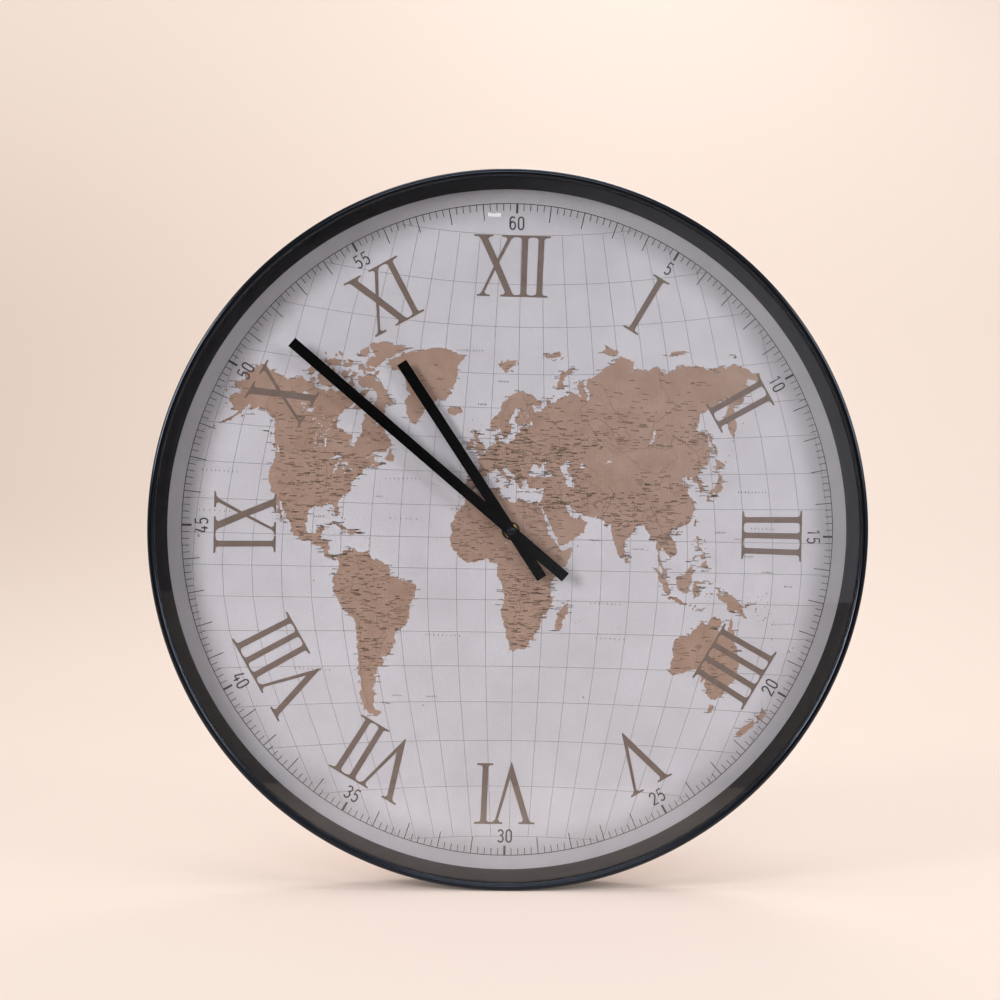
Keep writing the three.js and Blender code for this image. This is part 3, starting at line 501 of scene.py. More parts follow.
# Edges of the solids that count as flat or as sharp, and the facets of an eased one
FLAT_WITHIN = math.radians(1.0)
SHARP_FROM = math.radians(35.0)
EASED_FACETS = 2
# Share of a side that the rounding of one corner may take
EASE_SHARE = 0.45


def polar(radius: float, degrees: float) -> Point:
    """Point of the dial at a clockwise angle from twelve, in millimetres."""
    angle = math.radians(degrees)
    return radius * math.sin(angle), radius * math.cos(angle)


def depths(box: tuple[Vector, Vector]) -> Point:
    """Depths of a box's front and back, in millimetres."""
    return -box[0].y / MM, -box[1].y / MM


def eased(outline: Line, ease: float, closed: bool = True) -> Line:
    """Rounds the corners of an outline.

    Args:
        outline: Corners in order.
        ease: How far the rounding reaches along each side.
        closed: Whether the last corner joins the first.

    Returns:
        The outline with three points in place of each corner.
    """
    result: Line = []
    count = len(outline)
    for i, corner in enumerate(outline):
        if not closed and i in (0, count - 1):
            result.append(corner)
            continue
        here = Vector(corner)
        ends = []
        for other in (Vector(outline[i - 1]), Vector(outline[(i + 1) % count])):
            side = other - here
            ends.append(here + side.normalized() * min(ease, side.length * EASE_SHARE))
        middle = here * 0.5 + (ends[0] + ends[1]) * 0.25
        result.extend(tuple(p) for p in (ends[0], middle, ends[1]))
    return result


def covered(spots: Line, outlines: list[Line]) -> np.ndarray:
    """Finds which points lie inside any of some outlines.

    Args:
        spots: The points.
        outlines: Closed outlines, which may overlap.

    Returns:
        True for each point that an outline holds.
    """
    places = np.array(spots)
    held = np.zeros(len(places), bool)
    for outline in outlines:
        ring = np.array(outline)
        near = ((places > ring.min(0)) & (places < ring.max(0))).all(1)
        x, y = places[near].T
        odd = np.zeros(len(x), bool)
        for (x0, y0), (x1, y1) in zip(outline, outline[1:] + outline[:1]):
            if y0 != y1:
                odd ^= ((y0 > y) != (y1 > y)) & (x < x0 + (y - y0) * (x1 - x0) / (y1 - y0))
        held[near] |= odd
    return held


def turned(profile: Line, steps: int, axis_z: float = DIAL.axis_z, closed: bool = False) -> Shape:
    """Turns a profile about an axis that runs front to back.

    Args:
        profile: Radius and depth in millimetres, in order.
        steps: Number of facets round the axis.
        axis_z: Height of the axis in metres.
        closed: Whether the last point joins the first.

    Returns:
        The closed shape.
    """
    shape = bmesh.new()
    points = [shape.verts.new((radius * MM, -depth * MM, axis_z)) for radius, depth in profile]
    edges = [shape.edges.new(pair) for pair in zip(points, points[1:])]
    if closed:
        edges.append(shape.edges.new((points[-1], points[0])))
    bmesh.ops.spin(shape, geom=points + edges, cent=(0.0, 0.0, axis_z), axis=(0.0, 1.0, 0.0),
                   angle=math.tau, steps=steps, use_merge=True)
    bmesh.ops.remove_doubles(shape, verts=shape.verts, dist=MERGE)
    bmesh.ops.recalc_face_normals(shape, faces=shape.faces)
    return shape


def softened(node: str, width: float) -> Shape:
    """Copy of a solid with its sharp edges eased.

    Args:
        node: Name of the solid.
        width: Width of the easing in millimetres.

    Returns:
        The eased copy.
    """
    shape = bmesh.new()
    shape.from_mesh(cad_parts[node].data)
    bmesh.ops.remove_doubles(shape, verts=shape.verts, dist=SOLID_MERGE)
    bmesh.ops.dissolve_limit(shape, angle_limit=FLAT_WITHIN, use_dissolve_boundaries=False,
                             verts=shape.verts, edges=shape.edges)
    sharp = [edge for edge in shape.edges
             if edge.is_manifold and edge.calc_face_angle(0.0) > SHARP_FROM]
    bmesh.ops.bevel(shape, geom=sharp, offset=width * MM, offset_type="OFFSET",
                    segments=EASED_FACETS, profile=0.5, affect="EDGES", clamp_overlap=True,
                    material=-1)
    return shape


def mesh_of(name: str, shape: Shape) -> bpy.types.Mesh:
    """Mesh of a shape, which is then freed.

    Args:
        name: The mesh's name.
        shape: The shape.

    Returns:
        The mesh.
    """
    mesh = bpy.data.meshes.new(name)
    shape.to_mesh(mesh)
    shape.free()
    return mesh


def placed(name: str, data: bpy.types.ID) -> bpy.types.Object:
    """Puts a new object into the scene.

    Args:
        name: The object's name.
        data: Its mesh, curve, lamp or camera.

    Returns:
        The object.
    """
    thing = bpy.data.objects.new(name, data)
    bpy.context.scene.collection.objects.link(thing)
    return thing


def evaluated_mesh(thing: bpy.types.Object) -> bpy.types.Mesh:
    """Mesh of an object with its curve bevel or modifiers applied.

    Args:
        thing: The object, which stays as it is.

    Returns:
        A new mesh.
    """
    bpy.context.view_layer.update()
    seen = thing.evaluated_get(bpy.context.evaluated_depsgraph_get())
    return bpy.data.meshes.new_from_object(seen)


def flat_curve(lines: list[Line], dimensions: str, closed: bool) -> bpy.types.Object:
    """A drawing of straight-sided lines as a curve in the scene.

    Args:
        lines: Lines in millimetres.
        dimensions: Blender's word for flat or spatial curves.
        closed: Whether each line returns to its start.

    Returns:
        The curve's object.
    """
    curve = bpy.data.curves.new("drawing", "CURVE")
    curve.dimensions = dimensions
    for line in lines:
        spline = curve.splines.new("POLY")
        spline.points.add(len(line) - 1)
        for point, (x, y) in zip(spline.points, line):
            point.co = (x * MM, y * MM, 0.0, 1.0)
        spline.use_cyclic_u = closed
    return placed("drawing", curve)


def keep(name: str, shape: Shape, finish: Finish, replaced: tuple[str, ...] = (),
         body: Body = Body.CASE, crease: float = 32.0) -> None:
    """Makes a finished piece of a shape.

    Args:
        name: The piece's name.
        shape: The shape, in place.
        finish: Its surface.
        replaced: Solids that it stands for.
        body: The body that it rides on.
        crease: Angle above which an edge stays crisp.
    """
    mesh = mesh_of(name, shape)
    mesh.shade_smooth()
    mesh.set_sharp_from_angle(angle=math.radians(crease))
    mesh.materials.append(material_of(finish))
    piece = placed(name, mesh)
    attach(piece, body.value)
    if replaced:
        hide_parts(*replaced)
    LOG.info("%s: %d faces on %s", name, len(mesh.polygons), body.value)


def keep_eased(name: str, node: str, width: float, finish: Finish,
               body: Body = Body.CASE) -> None:
    """Makes a finished piece of the solid that it stands for, by easing its sharp edges."""
    keep(name, softened(node, width), finish, (node,), body)


@dataclass
class Ink:
    """Print of one colour: closed shapes that stand a little above the paper."""

    name: str
    finish: Finish
    height: float
    snap: float = 1e-4
    shape: Shape = field(default_factory=bmesh.new)

    def take(self, mesh: bpy.types.Mesh, turn: float) -> None:
        """Adds a drawn mesh in its place on the dial.

        Args:
            mesh: The mesh in its own plane, which is then removed.
            turn: Clockwise turn in degrees.
        """
        mesh.transform(DIAL.laid(turn))
        self.shape.from_mesh(mesh)
        bpy.data.meshes.remove(mesh)

    def area(self, outlines: list[Line], bare: list[Line] | None = None, turn: float = 0.0) -> None:
        """Prints filled outlines as one area; they may overlap.

        Args:
            outlines: Closed outlines in dial millimetres.
            bare: Outlines that stay unprinted.
            turn: Clockwise turn in degrees.
        """
        points: list[Vector] = []
        sides: list[tuple[int, int]] = []
        for outline in outlines + (bare or []):
            ring = list(range(len(points), len(points) + len(outline)))
            points += [Vector(p) for p in outline]
            sides += zip(ring, ring[1:] + ring[:1])
        places, _, triangles = delaunay_2d_cdt(points, sides, [], 0, self.snap)[:3]
        middles = [sum((places[i] for i in triangle), Vector((0.0, 0.0))) / 3
                   for triangle in triangles]
        inked = covered(middles, outlines)
        if bare:
            inked &= ~covered(middles, bare)
        flat = bmesh.new()
        corners = [flat.verts.new((x * MM, y * MM, 0.0)) for x, y in places]
        for triangle, printed in zip(triangles, inked):
            if printed:
                flat.faces.new([corners[i] for i in triangle])
        bmesh.ops.delete(flat, geom=[v for v in flat.verts if not v.link_faces], context="VERTS")
        raised = bmesh.ops.extrude_face_region(flat, geom=list(flat.faces), use_keep_orig=True)
        tops = [item for item in raised["geom"] if isinstance(item, bmesh.types.BMVert)]
        bmesh.ops.translate(flat, vec=(0.0, 0.0, self.height * MM), verts=tops)
        self.take(mesh_of("area", flat), turn)

    def pen(self, lines: list[Line], width: float, turn: float = 0.0, closed: bool = False) -> None:
        """Draws lines with a broad pen.

        Args:
            lines: Lines in dial millimetres.
            width: Width of the pen in millimetres.
            turn: Clockwise turn in degrees.
            closed: Whether each line returns to its start.
        """
        half = width / 2
        tip = [(-half, 0.0), (half, 0.0), (half, self.height), (-half, self.height)]
        nib = flat_curve([tip], "2D", True)
        carrier = flat_curve(lines, "3D", closed)
        carrier.data.twist_mode = "Z_UP"
        carrier.data.bevel_mode = "OBJECT"
        carrier.data.bevel_object = nib
        carrier.data.use_fill_caps = True
        self.take(evaluated_mesh(carrier), turn)
        for drawing in (carrier, nib):
            bpy.data.curves.remove(drawing.data)

    def lay(self) -> None:
        """Joins the print and lays it on the dial."""
        bmesh.ops.remove_doubles(self.shape, verts=self.shape.verts, dist=MERGE)
        bmesh.ops.recalc_face_normals(self.shape, faces=self.shape.faces)
        keep(self.name, self.shape, self.finish)


# Case

@dataclass
class Case:
    """Enamelled steel hoop with a half-round bead, the glass behind it and the dark wall inside."""

    radius: float = 299.999
    wall: float = 2.0
    bead: float = 3.0
    bead_steps: int = 18
    depth: float = 50.0
    lip: float = 45.5
    back_ease: float = 0.5
    straight_to: float = 20.0
    glass_radius: float = 297.5
    glass_ease: float = 0.4
    glass_crease: float = 5.0
    slope_front: float = 294.0
    slope_back: float = 286.8
    slope_ease: float = 0.3
    facets: int = 288

    def build(self) -> None:
        """Makes hoop, glass and inner wall."""
        self.hoop()
        self.glass()
        self.inner_wall()

    def hoop(self) -> None:
        """Turns the hoop with its bead and eased back edge."""
        centre = self.radius - self.bead
        middle = self.depth - self.bead
        rise = -CAD_BOX[0].y / MM - middle
        inside = self.radius - self.wall
        profile: Line = [(centre - self.bead, self.lip)]
        for i in range(self.bead_steps + 1):
            angle = math.pi * (1 - i / self.bead_steps)
            profile.append((centre + self.bead * math.cos(angle), middle + rise * math.sin(angle)))
        profile += eased([(self.radius, self.straight_to), (self.radius, 0.0), (inside, 0.0),
                          (inside, self.straight_to)], self.back_ease, False)
        profile.append((inside, self.lip))
        keep("case_shell", turned(profile, self.facets, closed=True), ENAMEL_BLACK,
             ("case_ring",))

    def glass(self) -> None:
        """Turns the flat glass with ground edges."""
        front, back = depths(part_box("glass_lens"))
        profile = eased([(0.0, front), (self.glass_radius, front), (self.glass_radius, back),
                         (0.0, back)], self.glass_ease, False)
        keep("glass_pane", turned(profile, self.facets), GLASS, ("glass_lens",),
             crease=self.glass_crease)

    def inner_wall(self) -> None:
        """Turns the sloping wall between glass and dial."""
        front, back = depths(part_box("spacer_ring"))
        profile = eased([(self.slope_front, front), (self.glass_radius, front),
                         (self.glass_radius, back), (self.slope_back, back)], self.slope_ease)
        keep("inner_wall", turned(profile, self.facets, closed=True), WALL_PAINT,
             ("spacer_ring",))


# Map

# Coasts as longitude and latitude, each written with only the points that its shape needs
NORTH_AMERICA = """-168 65.6,-164.5 66.6,-161.8 66.2,-164 67.6,-166.7 68.3,-163 69.2,-160 70.6,
-156.6 71.3,-152 70.8,-145 70,-141 69.6,-136 68.9,-134 69.5,-129 70,-127 70.4,-124 69.6,-121 69.8,
-117 68.9,-114.5 68,-109 67.9,-108 67,-106 68.6,-101 67.8,-97.5 68.3,-95.8 67.4,-94.5 69.3,-96 70.5,
-94.8 72,-92 71,-91.5 69.6,-88 68.7,-86 67.4,-84.5 69.2,-81.6 69.3,-82 67.2,-86 66.2,-87.5 65,
-88.5 64,-92.5 62.8,-94.2 61,-94.6 58.8,-92.5 57,-89 56.8,-85 55.3,-82.3 55.1,-82.2 53,-80.6 51.4,
-79 51.4,-78.8 52.6,-79.2 54.3,-77 55.8,-76.6 57.2,-78.5 58.9,-77.6 60.6,-78 62.4,-74 62.3,-71 61.1,
-69.6 60.3,-69 58.9,-66.6 58.8,-64.6 60.3,-62.5 58,-61 56,-57.6 54.6,-55.8 52.5,-58.5 51.3,-60 50.2,
-65 50.2,-67.2 49.4,-70.5 47.1,-68 48.6,-65 49.2,-64.3 48.6,-65.4 47.6,-64.6 46.2,-61.4 45.8,
-60.2 46.9,-60 45.8,-63.5 44.6,-65.8 43.5,-66.2 44.3,-64.6 45.5,-67 44.8,-69 44,-70.7 43,-70 41.7,
-71.5 41.4,-74 40.7,-74.4 39.4,-76 38.8,-75.8 37.2,-75.6 35.3,-77.5 34.2,-79.2 33.1,-81.2 31.6,
-81.4 30,-80.5 28.3,-80.1 26.2,-80.8 25.2,-81.8 26,-82.8 27.8,-83.8 30,-85.2 29.7,-87.5 30.3,
-89.4 30.2,-89.2 29.1,-91 29.3,-94 29.6,-96 28.5,-97.3 27.2,-97.4 25.5,-97.8 22.5,-96.3 19.3,
-95 18.5,-92.5 18.5,-91 18.9,-90.4 20.8,-88 21.6,-86.9 21.3,-87.5 19.5,-88.2 18,-88.8 15.9,-86 15.9,
-83.3 15,-83.6 11,-82.3 9.1,-80.5 9,-79.5 9.6,-77.5 8.7,-77.9 7.4,-79 9,-80.4 8.2,-80.8 7.3,
-82.9 8.2,-85.7 9.9,-85.8 11,-87.6 12.9,-89.5 13.4,-92.2 14.5,-94 16.1,-96.5 15.7,-99.8 16.8,
-103.5 18.2,-105.5 20.3,-105.4 21.8,-107.5 24.2,-109.3 25.8,-111 27.9,-112.6 29.8,-113.1 31.2,
-114.7 31.7,-114 30,-112.6 28,-111.3 26,-110.3 24.3,-109.4 23.1,-110.4 23.6,-112 24.8,-113 26.6,
-115 27.8,-114.2 28.7,-115.8 30.3,-117.1 32.5,-118.5 34,-120.6 34.6,-122.2 37,-123.8 39.3,
-124.4 40.4,-124.1 43.5,-124 46.2,-124.7 48.3,-122.5 47.5,-123 49,-125 50.2,-127.5 51.2,-128.6 53,
-130.3 54.6,-131.8 56,-134 58.2,-136.6 58.3,-139.5 59.6,-144 60,-146.5 60.8,-148.5 60,-151.6 59.2,
-151.4 60.9,-153.6 59.4,-156 57.7,-158.5 56,-161.5 55.1,-164.8 54.6,-162 55.9,-158.5 57.6,
-157.3 58.8,-160 58.7,-162 58.7,-162 60,-165.2 60.8,-166 61.8,-164.5 63,-161 63.6,-161 64.5,
-163.5 64.5,-166.3 64.6"""
SOUTH_AMERICA = """-77.5 8.7,-75.5 10.7,-74 11.3,-71.7 12.4,-71.6 10.9,-70 11.8,-68 10.6,-64.5 10.2,
-62 10.7,-60.5 8.5,-58 6.8,-54 5.8,-51.5 4.3,-50 1.8,-50 0,-48 -0.8,-44.5 -2.5,-41.5 -2.9,
-38.5 -3.8,-35.5 -5.2,-34.8 -7.5,-37 -11,-39 -13.5,-39.2 -17.5,-40.8 -21,-42 -22.9,-45 -23.6,
-48.5 -25.8,-48.8 -28.5,-51.5 -31.8,-53.5 -34,-56 -34.9,-58.4 -34,-57.2 -36,-58 -38.2,-62 -39,
-62.2 -40.8,-65 -41,-63.7 -42.5,-65.5 -45,-67.5 -46.2,-65.8 -47.5,-67.8 -49.8,-69 -51.2,-68.3 -52.6,
-65.2 -54.7,-68 -55.6,-71.5 -54.2,-74.5 -52,-75.5 -48.5,-74.3 -45.8,-73 -42.5,-73.8 -39.5,-73.3 -37,
-71.5 -32.5,-71.5 -29.5,-70.3 -25,-70.2 -19.5,-71.5 -17.4,-76.2 -14,-77.3 -12,-79.5 -7.8,-81.2 -6,
-81.3 -4.3,-80 -3.2,-80.9 -1,-80 0.8,-78.8 1.5,-77.3 3.8,-77.5 6.5,-77.9 7.4"""
GREENLAND = """-73 78.3,-66 79.8,-64 81.2,-52 82.2,-40 83.2,-32 83.5,-22 82.3,-15 81.5,-18 80,
-20 78.5,-19.5 76.5,-21 75,-20 74.2,-22 72.5,-24.5 71.6,-22 70.4,-26 68.6,-32 68,-36.5 66,-40 65,
-41.5 63,-43 61,-44 60,-46.5 60.8,-49.5 62,-51.5 64,-53.5 66.5,-53.5 68,-51 69.5,-54.5 70.6,-55 72,
-56.5 73.7,-58.5 75.3,-63 76.2,-68.5 76.1,-71 77.2"""
AFRICA = """-5.9 35.8,-2 35.2,3 36.9,10 37.3,11 35.5,10.2 34.2,11.5 33.2,15 32.4,15.6 31.5,19 30.3,
20 31.2,21.7 32.9,25 31.7,29 30.9,31 31.5,32.4 31.2,32.6 29.9,33.6 27.8,35.5 24,37.2 21,37.3 19,
39.5 15.5,43.2 12.5,43.2 11.5,45 10.5,51.2 11.9,51 10.4,48 4.5,44 1.2,41.5 -1.7,39.3 -4.7,39.4 -7,
40.6 -10.8,40.6 -15,36.5 -18.6,34.8 -20,35.5 -24,32.8 -25.8,32.4 -28.5,30 -31.2,27 -33.6,22 -34.2,
20 -34.8,18.4 -34,18.2 -32,15.3 -27,14.4 -22.5,11.8 -17.5,13.6 -12.5,13.2 -9,12.2 -6,9 -1,9.5 3,
8.8 4.4,5.8 4.4,4.2 6.3,-1.5 4.9,-7.6 4.4,-12 7.3,-13.5 9.5,-16.6 12.3,-17.4 14.7,-16.2 18.5,-17 21,
-14.8 25.5,-12.8 27.9,-9.7 30,-9.3 32.3,-6.5 34.1"""
EURASIA = """-5.6 36,-6.4 36.9,-8.9 37,-9.4 38.8,-8.8 41.2,-9.2 43.2,-5 43.6,-1.8 43.4,-1.2 45.6,
-2.5 47.3,-4.7 48.3,-1.6 48.7,-1.8 49.7,0.2 49.7,1.7 50.8,3.5 51.5,4.8 53,7 53.6,8.6 54,8.2 55.6,
8.2 57,10.5 57.7,10.3 56,9.8 55,11 54,14 54,18.5 54.7,21 55.2,21.1 57,22.6 57.7,24.3 57.2,23.5 59.2,
28 59.5,30.2 59.9,28.5 60.7,23 60,21.4 61.2,21.4 63.2,25.2 65,22.2 65.8,21 64.5,17.4 62,17.2 60.7,
19 59.8,16.5 57,14.5 55.6,12.9 55.5,11.2 59.1,10.4 59.5,8 58.1,5.6 58.8,5 61.5,8.5 63.5,12.5 66,
15 68.2,19 69.8,25.7 71.1,31 70.3,36 69.1,41 67.3,40 66.2,34 66.7,32.6 67.1,34.5 65.3,35 64.3,
38 64.2,40 64.8,40 65.6,44 66.2,43.6 68.5,46 67.8,46.5 66.8,54 68.3,59 68.6,61 69.8,65 69.2,
68.5 68.3,66.8 69.5,67 71.5,69 73,72.8 72.8,72 71,73 68.5,71.6 66.4,73.6 67.4,74.6 69,73.5 71.4,
75 72.7,80.5 73.6,86.5 74.5,92 75.8,98 76.3,104.2 77.7,113 75.7,110 74,107 73.2,113 73.8,119 73,
127 73.4,129 71,137 71.4,140 72.5,150 71.5,160 69.8,170 69.9,171 69,176 69.7,180 68.9,185.5 67,
190.3 66.1,187 64.3,181.5 65.6,178.5 64.6,179.3 62.4,174 61.7,170.3 60,165 59.9,163 58,162.2 56,
159.8 53,156.8 51,155.7 54,155.8 56.8,158 58,161.8 60.3,164 62.4,160.5 61.8,156.5 61.5,154.3 59.5,
150 59.5,142.5 59.2,138 56.3,135.3 54.7,139 54,141.3 53,140.5 50,140.4 48,138 46,135.2 43.5,
132 43.2,130.6 42.3,127.6 39.8,129.4 37.2,129.2 35.2,126.4 34.5,126.7 37.3,125 38,124.4 39.9,
121.3 38.8,121.9 40.8,118 39.1,117.8 38.2,119 37.2,122.6 37.3,120 35.8,119.3 34.8,121.8 31.6,
122 29.6,120.5 27.3,118.5 24.6,116 22.8,113.5 22.2,110.4 21.2,110 20.3,108.3 21.6,105.8 19,
107.5 16.5,109.2 13,109 11.4,106.8 10.4,104.9 8.6,104.9 10.3,102.3 12,100.9 13.4,99.9 12,99.2 9.5,
101 6.9,103.4 4,104.2 1.4,103.4 1.4,101.2 3,100.3 5.6,98.3 8,98.6 11,97.6 16.4,95.4 15.8,94.3 16.2,
94.3 18.5,92 21.2,90.5 22.4,87 21.4,86.5 20,82.3 16.7,80.2 15.5,80.2 13,79.8 10.4,78.2 8.9,77.5 8.1,
76.3 10,74.4 14.5,73 17.5,72.7 21,72.5 22.2,70.5 20.9,69 22.3,70.2 22.9,67 24.8,61.6 25.1,57.3 25.7,
56.8 27.1,54.6 26.6,51.5 27.9,50.2 30,48 30,48.2 28.7,50 26.6,50.8 25,51.4 26.1,51.6 24.4,54 24.1,
56.3 26.3,56.6 24.3,59.8 22.5,57.8 19,55.2 17.4,52 15.6,45 12.8,43.4 12.7,42.7 16,39.1 21.3,37 25,
35 28,34.9 29.5,34.3 27.9,32.6 29.9,32.4 31.2,34.3 31.3,35.5 33.9,36 36,36.1 36.8,32.5 36.1,
30.5 36.8,27.3 36.8,26.3 38.8,26.2 40.4,23.8 40.3,22.9 40.5,23.6 39,24 37.8,22.8 36.6,21.6 37,
21 38.4,19.4 40.5,19.4 42,16.2 43.5,13.7 45,12.4 45.3,12.4 44.2,14 42.4,16.1 41.8,18.4 40.1,17 40.4,
16.6 38.5,15.7 38,15.7 40,12.3 41.7,10.3 43.4,8.8 44.4,6 43.1,3.2 43.2,3.2 41.9,0.2 40.5,0 38.8,
-0.8 37.7,-2.2 36.7,-4.4 36.7"""
AUSTRALIA = """114 -22,113.5 -24.5,113.5 -26.3,115 -30,115.7 -33.4,115.1 -34.3,118 -35,120 -34,
123.7 -33.9,126 -32.3,131 -31.5,134.2 -32.9,135.8 -34.9,137.8 -32.8,137.5 -35.2,139.5 -36.3,
140.5 -38,143.5 -38.8,146.3 -39,149.9 -37.5,151.3 -33.5,153.2 -30,153.3 -26.5,150.8 -23.3,149 -20.5,
146.3 -19,145.4 -15.5,143.6 -14.2,142.5 -10.8,141.7 -13,141 -17,139.3 -17.5,136 -15.6,136.8 -12.3,
132.6 -11.3,130.6 -12.6,129.4 -14.9,128 -14.6,126.8 -13.9,124 -16.3,122.2 -17.5,121 -19.5,
117 -20.6"""
ISLANDS = """-65 61.8,-68 62.6,-72 63.7,-74 64.5,-78 64.5,-73.6 65.6,-73 67.8,-76 69.5,-79 70,
-85 70,-89 71,-89.5 73,-85 73.7,-81 73.6,-78 72.8,-75 72.2,-71 71,-68 70,-67 69,-64 67.7,-61.5 66.7,
-63.5 65.2,-67 66.2,-65 63.6
-61.5 82.4,-70 83,-82 82.9,-91 81.8,-87 80.4,-83 79,-87 78.2,-89 76.4,-80 76.2,-78 77.5,-75.5 78.6,
-70 80,-64.5 81.3
-96 79.8,-91 81.3,-89 80,-90.5 78.4,-95 78.6
-96 76.7,-90 75.7,-81 75.8,-80 74.7,-91.7 74.7,-93 76
-105 69.2,-102 69.8,-105.5 72.5,-109 73,-114 73.2,-117.5 72,-117 70.3,-113.5 69.2,-108 68.8
-125.8 72,-124 74.2,-120 74.2,-118.4 73,-121 71.6,-123.5 71.2
-117 75.3,-114 76.3,-108 76.4,-106 75,-112 74.6
-102.5 72.7,-101 73.9,-97.5 73.8,-97 71.9,-100 71.8
-95.5 74,-90.5 73.8,-92 72.6,-95.6 72.4
-104 76,-98 76.6,-98 75,-104 75.2
-87 63.7,-85.5 65.8,-81.5 64,-84 63.2
-59.2 47.7,-57.5 50.5,-55.6 51.5,-55.8 49.8,-53.3 48.8,-53 46.8,-55.5 47
-128.2 50.7,-125.2 50,-123.5 48.4,-126 49.2
-133 54.1,-131.7 54,-131.2 52.2
-154.5 57.4,-152.5 58.3,-152.5 57.3
-84.9 21.9,-82.5 23.1,-79.5 22.6,-76 21,-74.2 20.2,-77.6 19.9,-78 20.8,-82 22.4
-74.4 18.5,-73.2 19.9,-70 19.7,-68.4 18.5,-71.5 17.8
-78.4 18.3,-77 18.6,-76.2 17.9,-77.4 17.8
-67.2 18,-67 18.5,-65.7 18.4,-65.9 18
-24 65.6,-22.5 66.4,-20.5 65.8,-16 66.5,-13.8 65,-18.8 63.4,-22.5 63.9
-5.7 50.1,-3.5 50.4,1.4 51.2,1.7 52.7,0.2 53.2,-1.5 55,-3 56,-2 57.6,-4 57.7,-3 58.6,-5 58.6,
-6 56.8,-4.8 54.8,-3 54,-4.6 53.2,-4.2 52.3,-5.2 51.8,-3 51.4
-6.2 52.2,-6 53.5,-5.6 54.6,-7.3 55.4,-8.6 54.4,-10 54,-9.5 52.7,-10.3 51.8,-8.5 51.7
11 79.5,16 80,21 80.2,27 80,22 79,21 78.3,17 76.7,14 77.7
51.5 71.5,53.6 73.2,56 75,62 76.2,68.5 76.9,66 75.9,59 74.3,56.5 72,57.5 70.7,54 70.8
45 80.6,52 81.2,62 81,58 80.2,50 80.1
92 79.5,97 81,104 79,100 78,95 79
137 75.3,141 76,150 75.2,146 74.8,140 74.8
178.7 71,181 71.5,182.5 71,180 70.8
142 54.3,143.3 53,143.2 50,144.5 48.8,142.8 46.5,142 46.2,142.2 49,141.7 52
140 41.7,140.4 43.3,141.8 45.4,145.3 43.8,143.3 42.1,141 42.4
130.9 34.2,132.7 35.4,135.8 35.7,136.8 37.3,138.5 37.4,140 39.6,140.3 41,141.4 41.3,142 39.5,
140.9 37.8,140.8 35.7,138.8 34.7,136.9 34.4,135.8 33.5,135 34.6,132.3 33.9
129.8 33.3,131 33.9,132 32.8,131.3 31.4,130.2 31.3
132.5 33.6,134.5 34.2,134.2 33.3,132.9 32.8
120.1 23,121.5 25.2,121.9 24.8,120.9 22
108.7 19.2,110.5 20.1,110.5 18.8,109.3 18.3
120.3 16,120.6 18.5,122.2 18.4,121.5 16,121.9 14.2,124 12.8,121 13.7
122 7,123.5 8.5,125.5 9.7,126.5 7.3,125.4 5.8,124 6.5
122 10.5,122.8 11.7,125 12.3,125.3 11,123.3 9.4
117.2 8.4,119.4 11.2,119 10
109 1.5,109.6 2,111.3 2.5,113 3.2,115 5,116.8 6.9,119.2 5.2,117.8 3.5,117.8 1,116.5 -1.5,116 -4,
114.5 -4,111.8 -3.5,110.2 -2.5,109 0
95.3 5.5,97.5 5.2,100.3 2.8,103.5 0,106 -3,105.8 -5.8,104.5 -5.8,102.2 -3.8,100.3 -1,98.8 1.7
105.2 -6.8,106.5 -6,110.8 -6.4,112.7 -6.9,114.5 -7.8,114.3 -8.7,110 -8.1,106.5 -7.4
119.4 -5.5,118.8 -2.8,120 0.8,123 0.9,125.1 1.6,123.5 0.3,120.5 0.3,121 -0.9,123.3 -0.9,121.7 -1.9,
122.8 -4.5,121.6 -4.8,121 -2.8,120.4 -3,120.4 -5.5
131 -0.8,134 -0.8,135 -3.3,138 -1.7,141 -2.6,145.8 -5.4,147.8 -6.1,147.2 -7,150.8 -10.3,147 -9.5,
144 -7.7,142.6 -9.2,139 -8.1,138 -5.5,133 -4,132 -2.8,133.8 -2.4
148.5 -5.8,152 -4.2,152 -5,149.5 -6.3
123.6 -10.3,127.2 -8.4,125 -9.6
164 -20.2,167 -22.3,166 -22
144.7 -40.8,148.2 -40.8,147.8 -43,146 -43.5
172.8 -34.5,175.4 -36.5,176 -37.6,178.5 -37.7,177 -39.5,175.3 -41.6,174.9 -40,173.8 -39.3,
174.8 -37.5
172.7 -40.5,174.3 -41.5,172.8 -43.5,170.7 -45.9,168.5 -46.6,166.5 -46,168.5 -44,171.2 -42.2
79.8 8.5,80.2 9.8,81.8 7.5,80.6 6,79.9 6.8
49.3 -12,50.4 -15.7,48 -22,47 -25,44.8 -25.3,43.4 -22.5,44.4 -19.8,44 -17,46.5 -15.5,48 -13.5
8.3 39,8.3 41,9.7 40.8,9.5 39.2
8.7 41.8,9.4 42.9,9.4 41.6
12.5 37.9,15.5 38.2,15.1 36.7
23.6 35.6,26.2 35.3,25 34.9
32.4 35,34.4 35.6,33.5 34.6
-61 -51.8,-58 -51.4,-59 -52.3"""
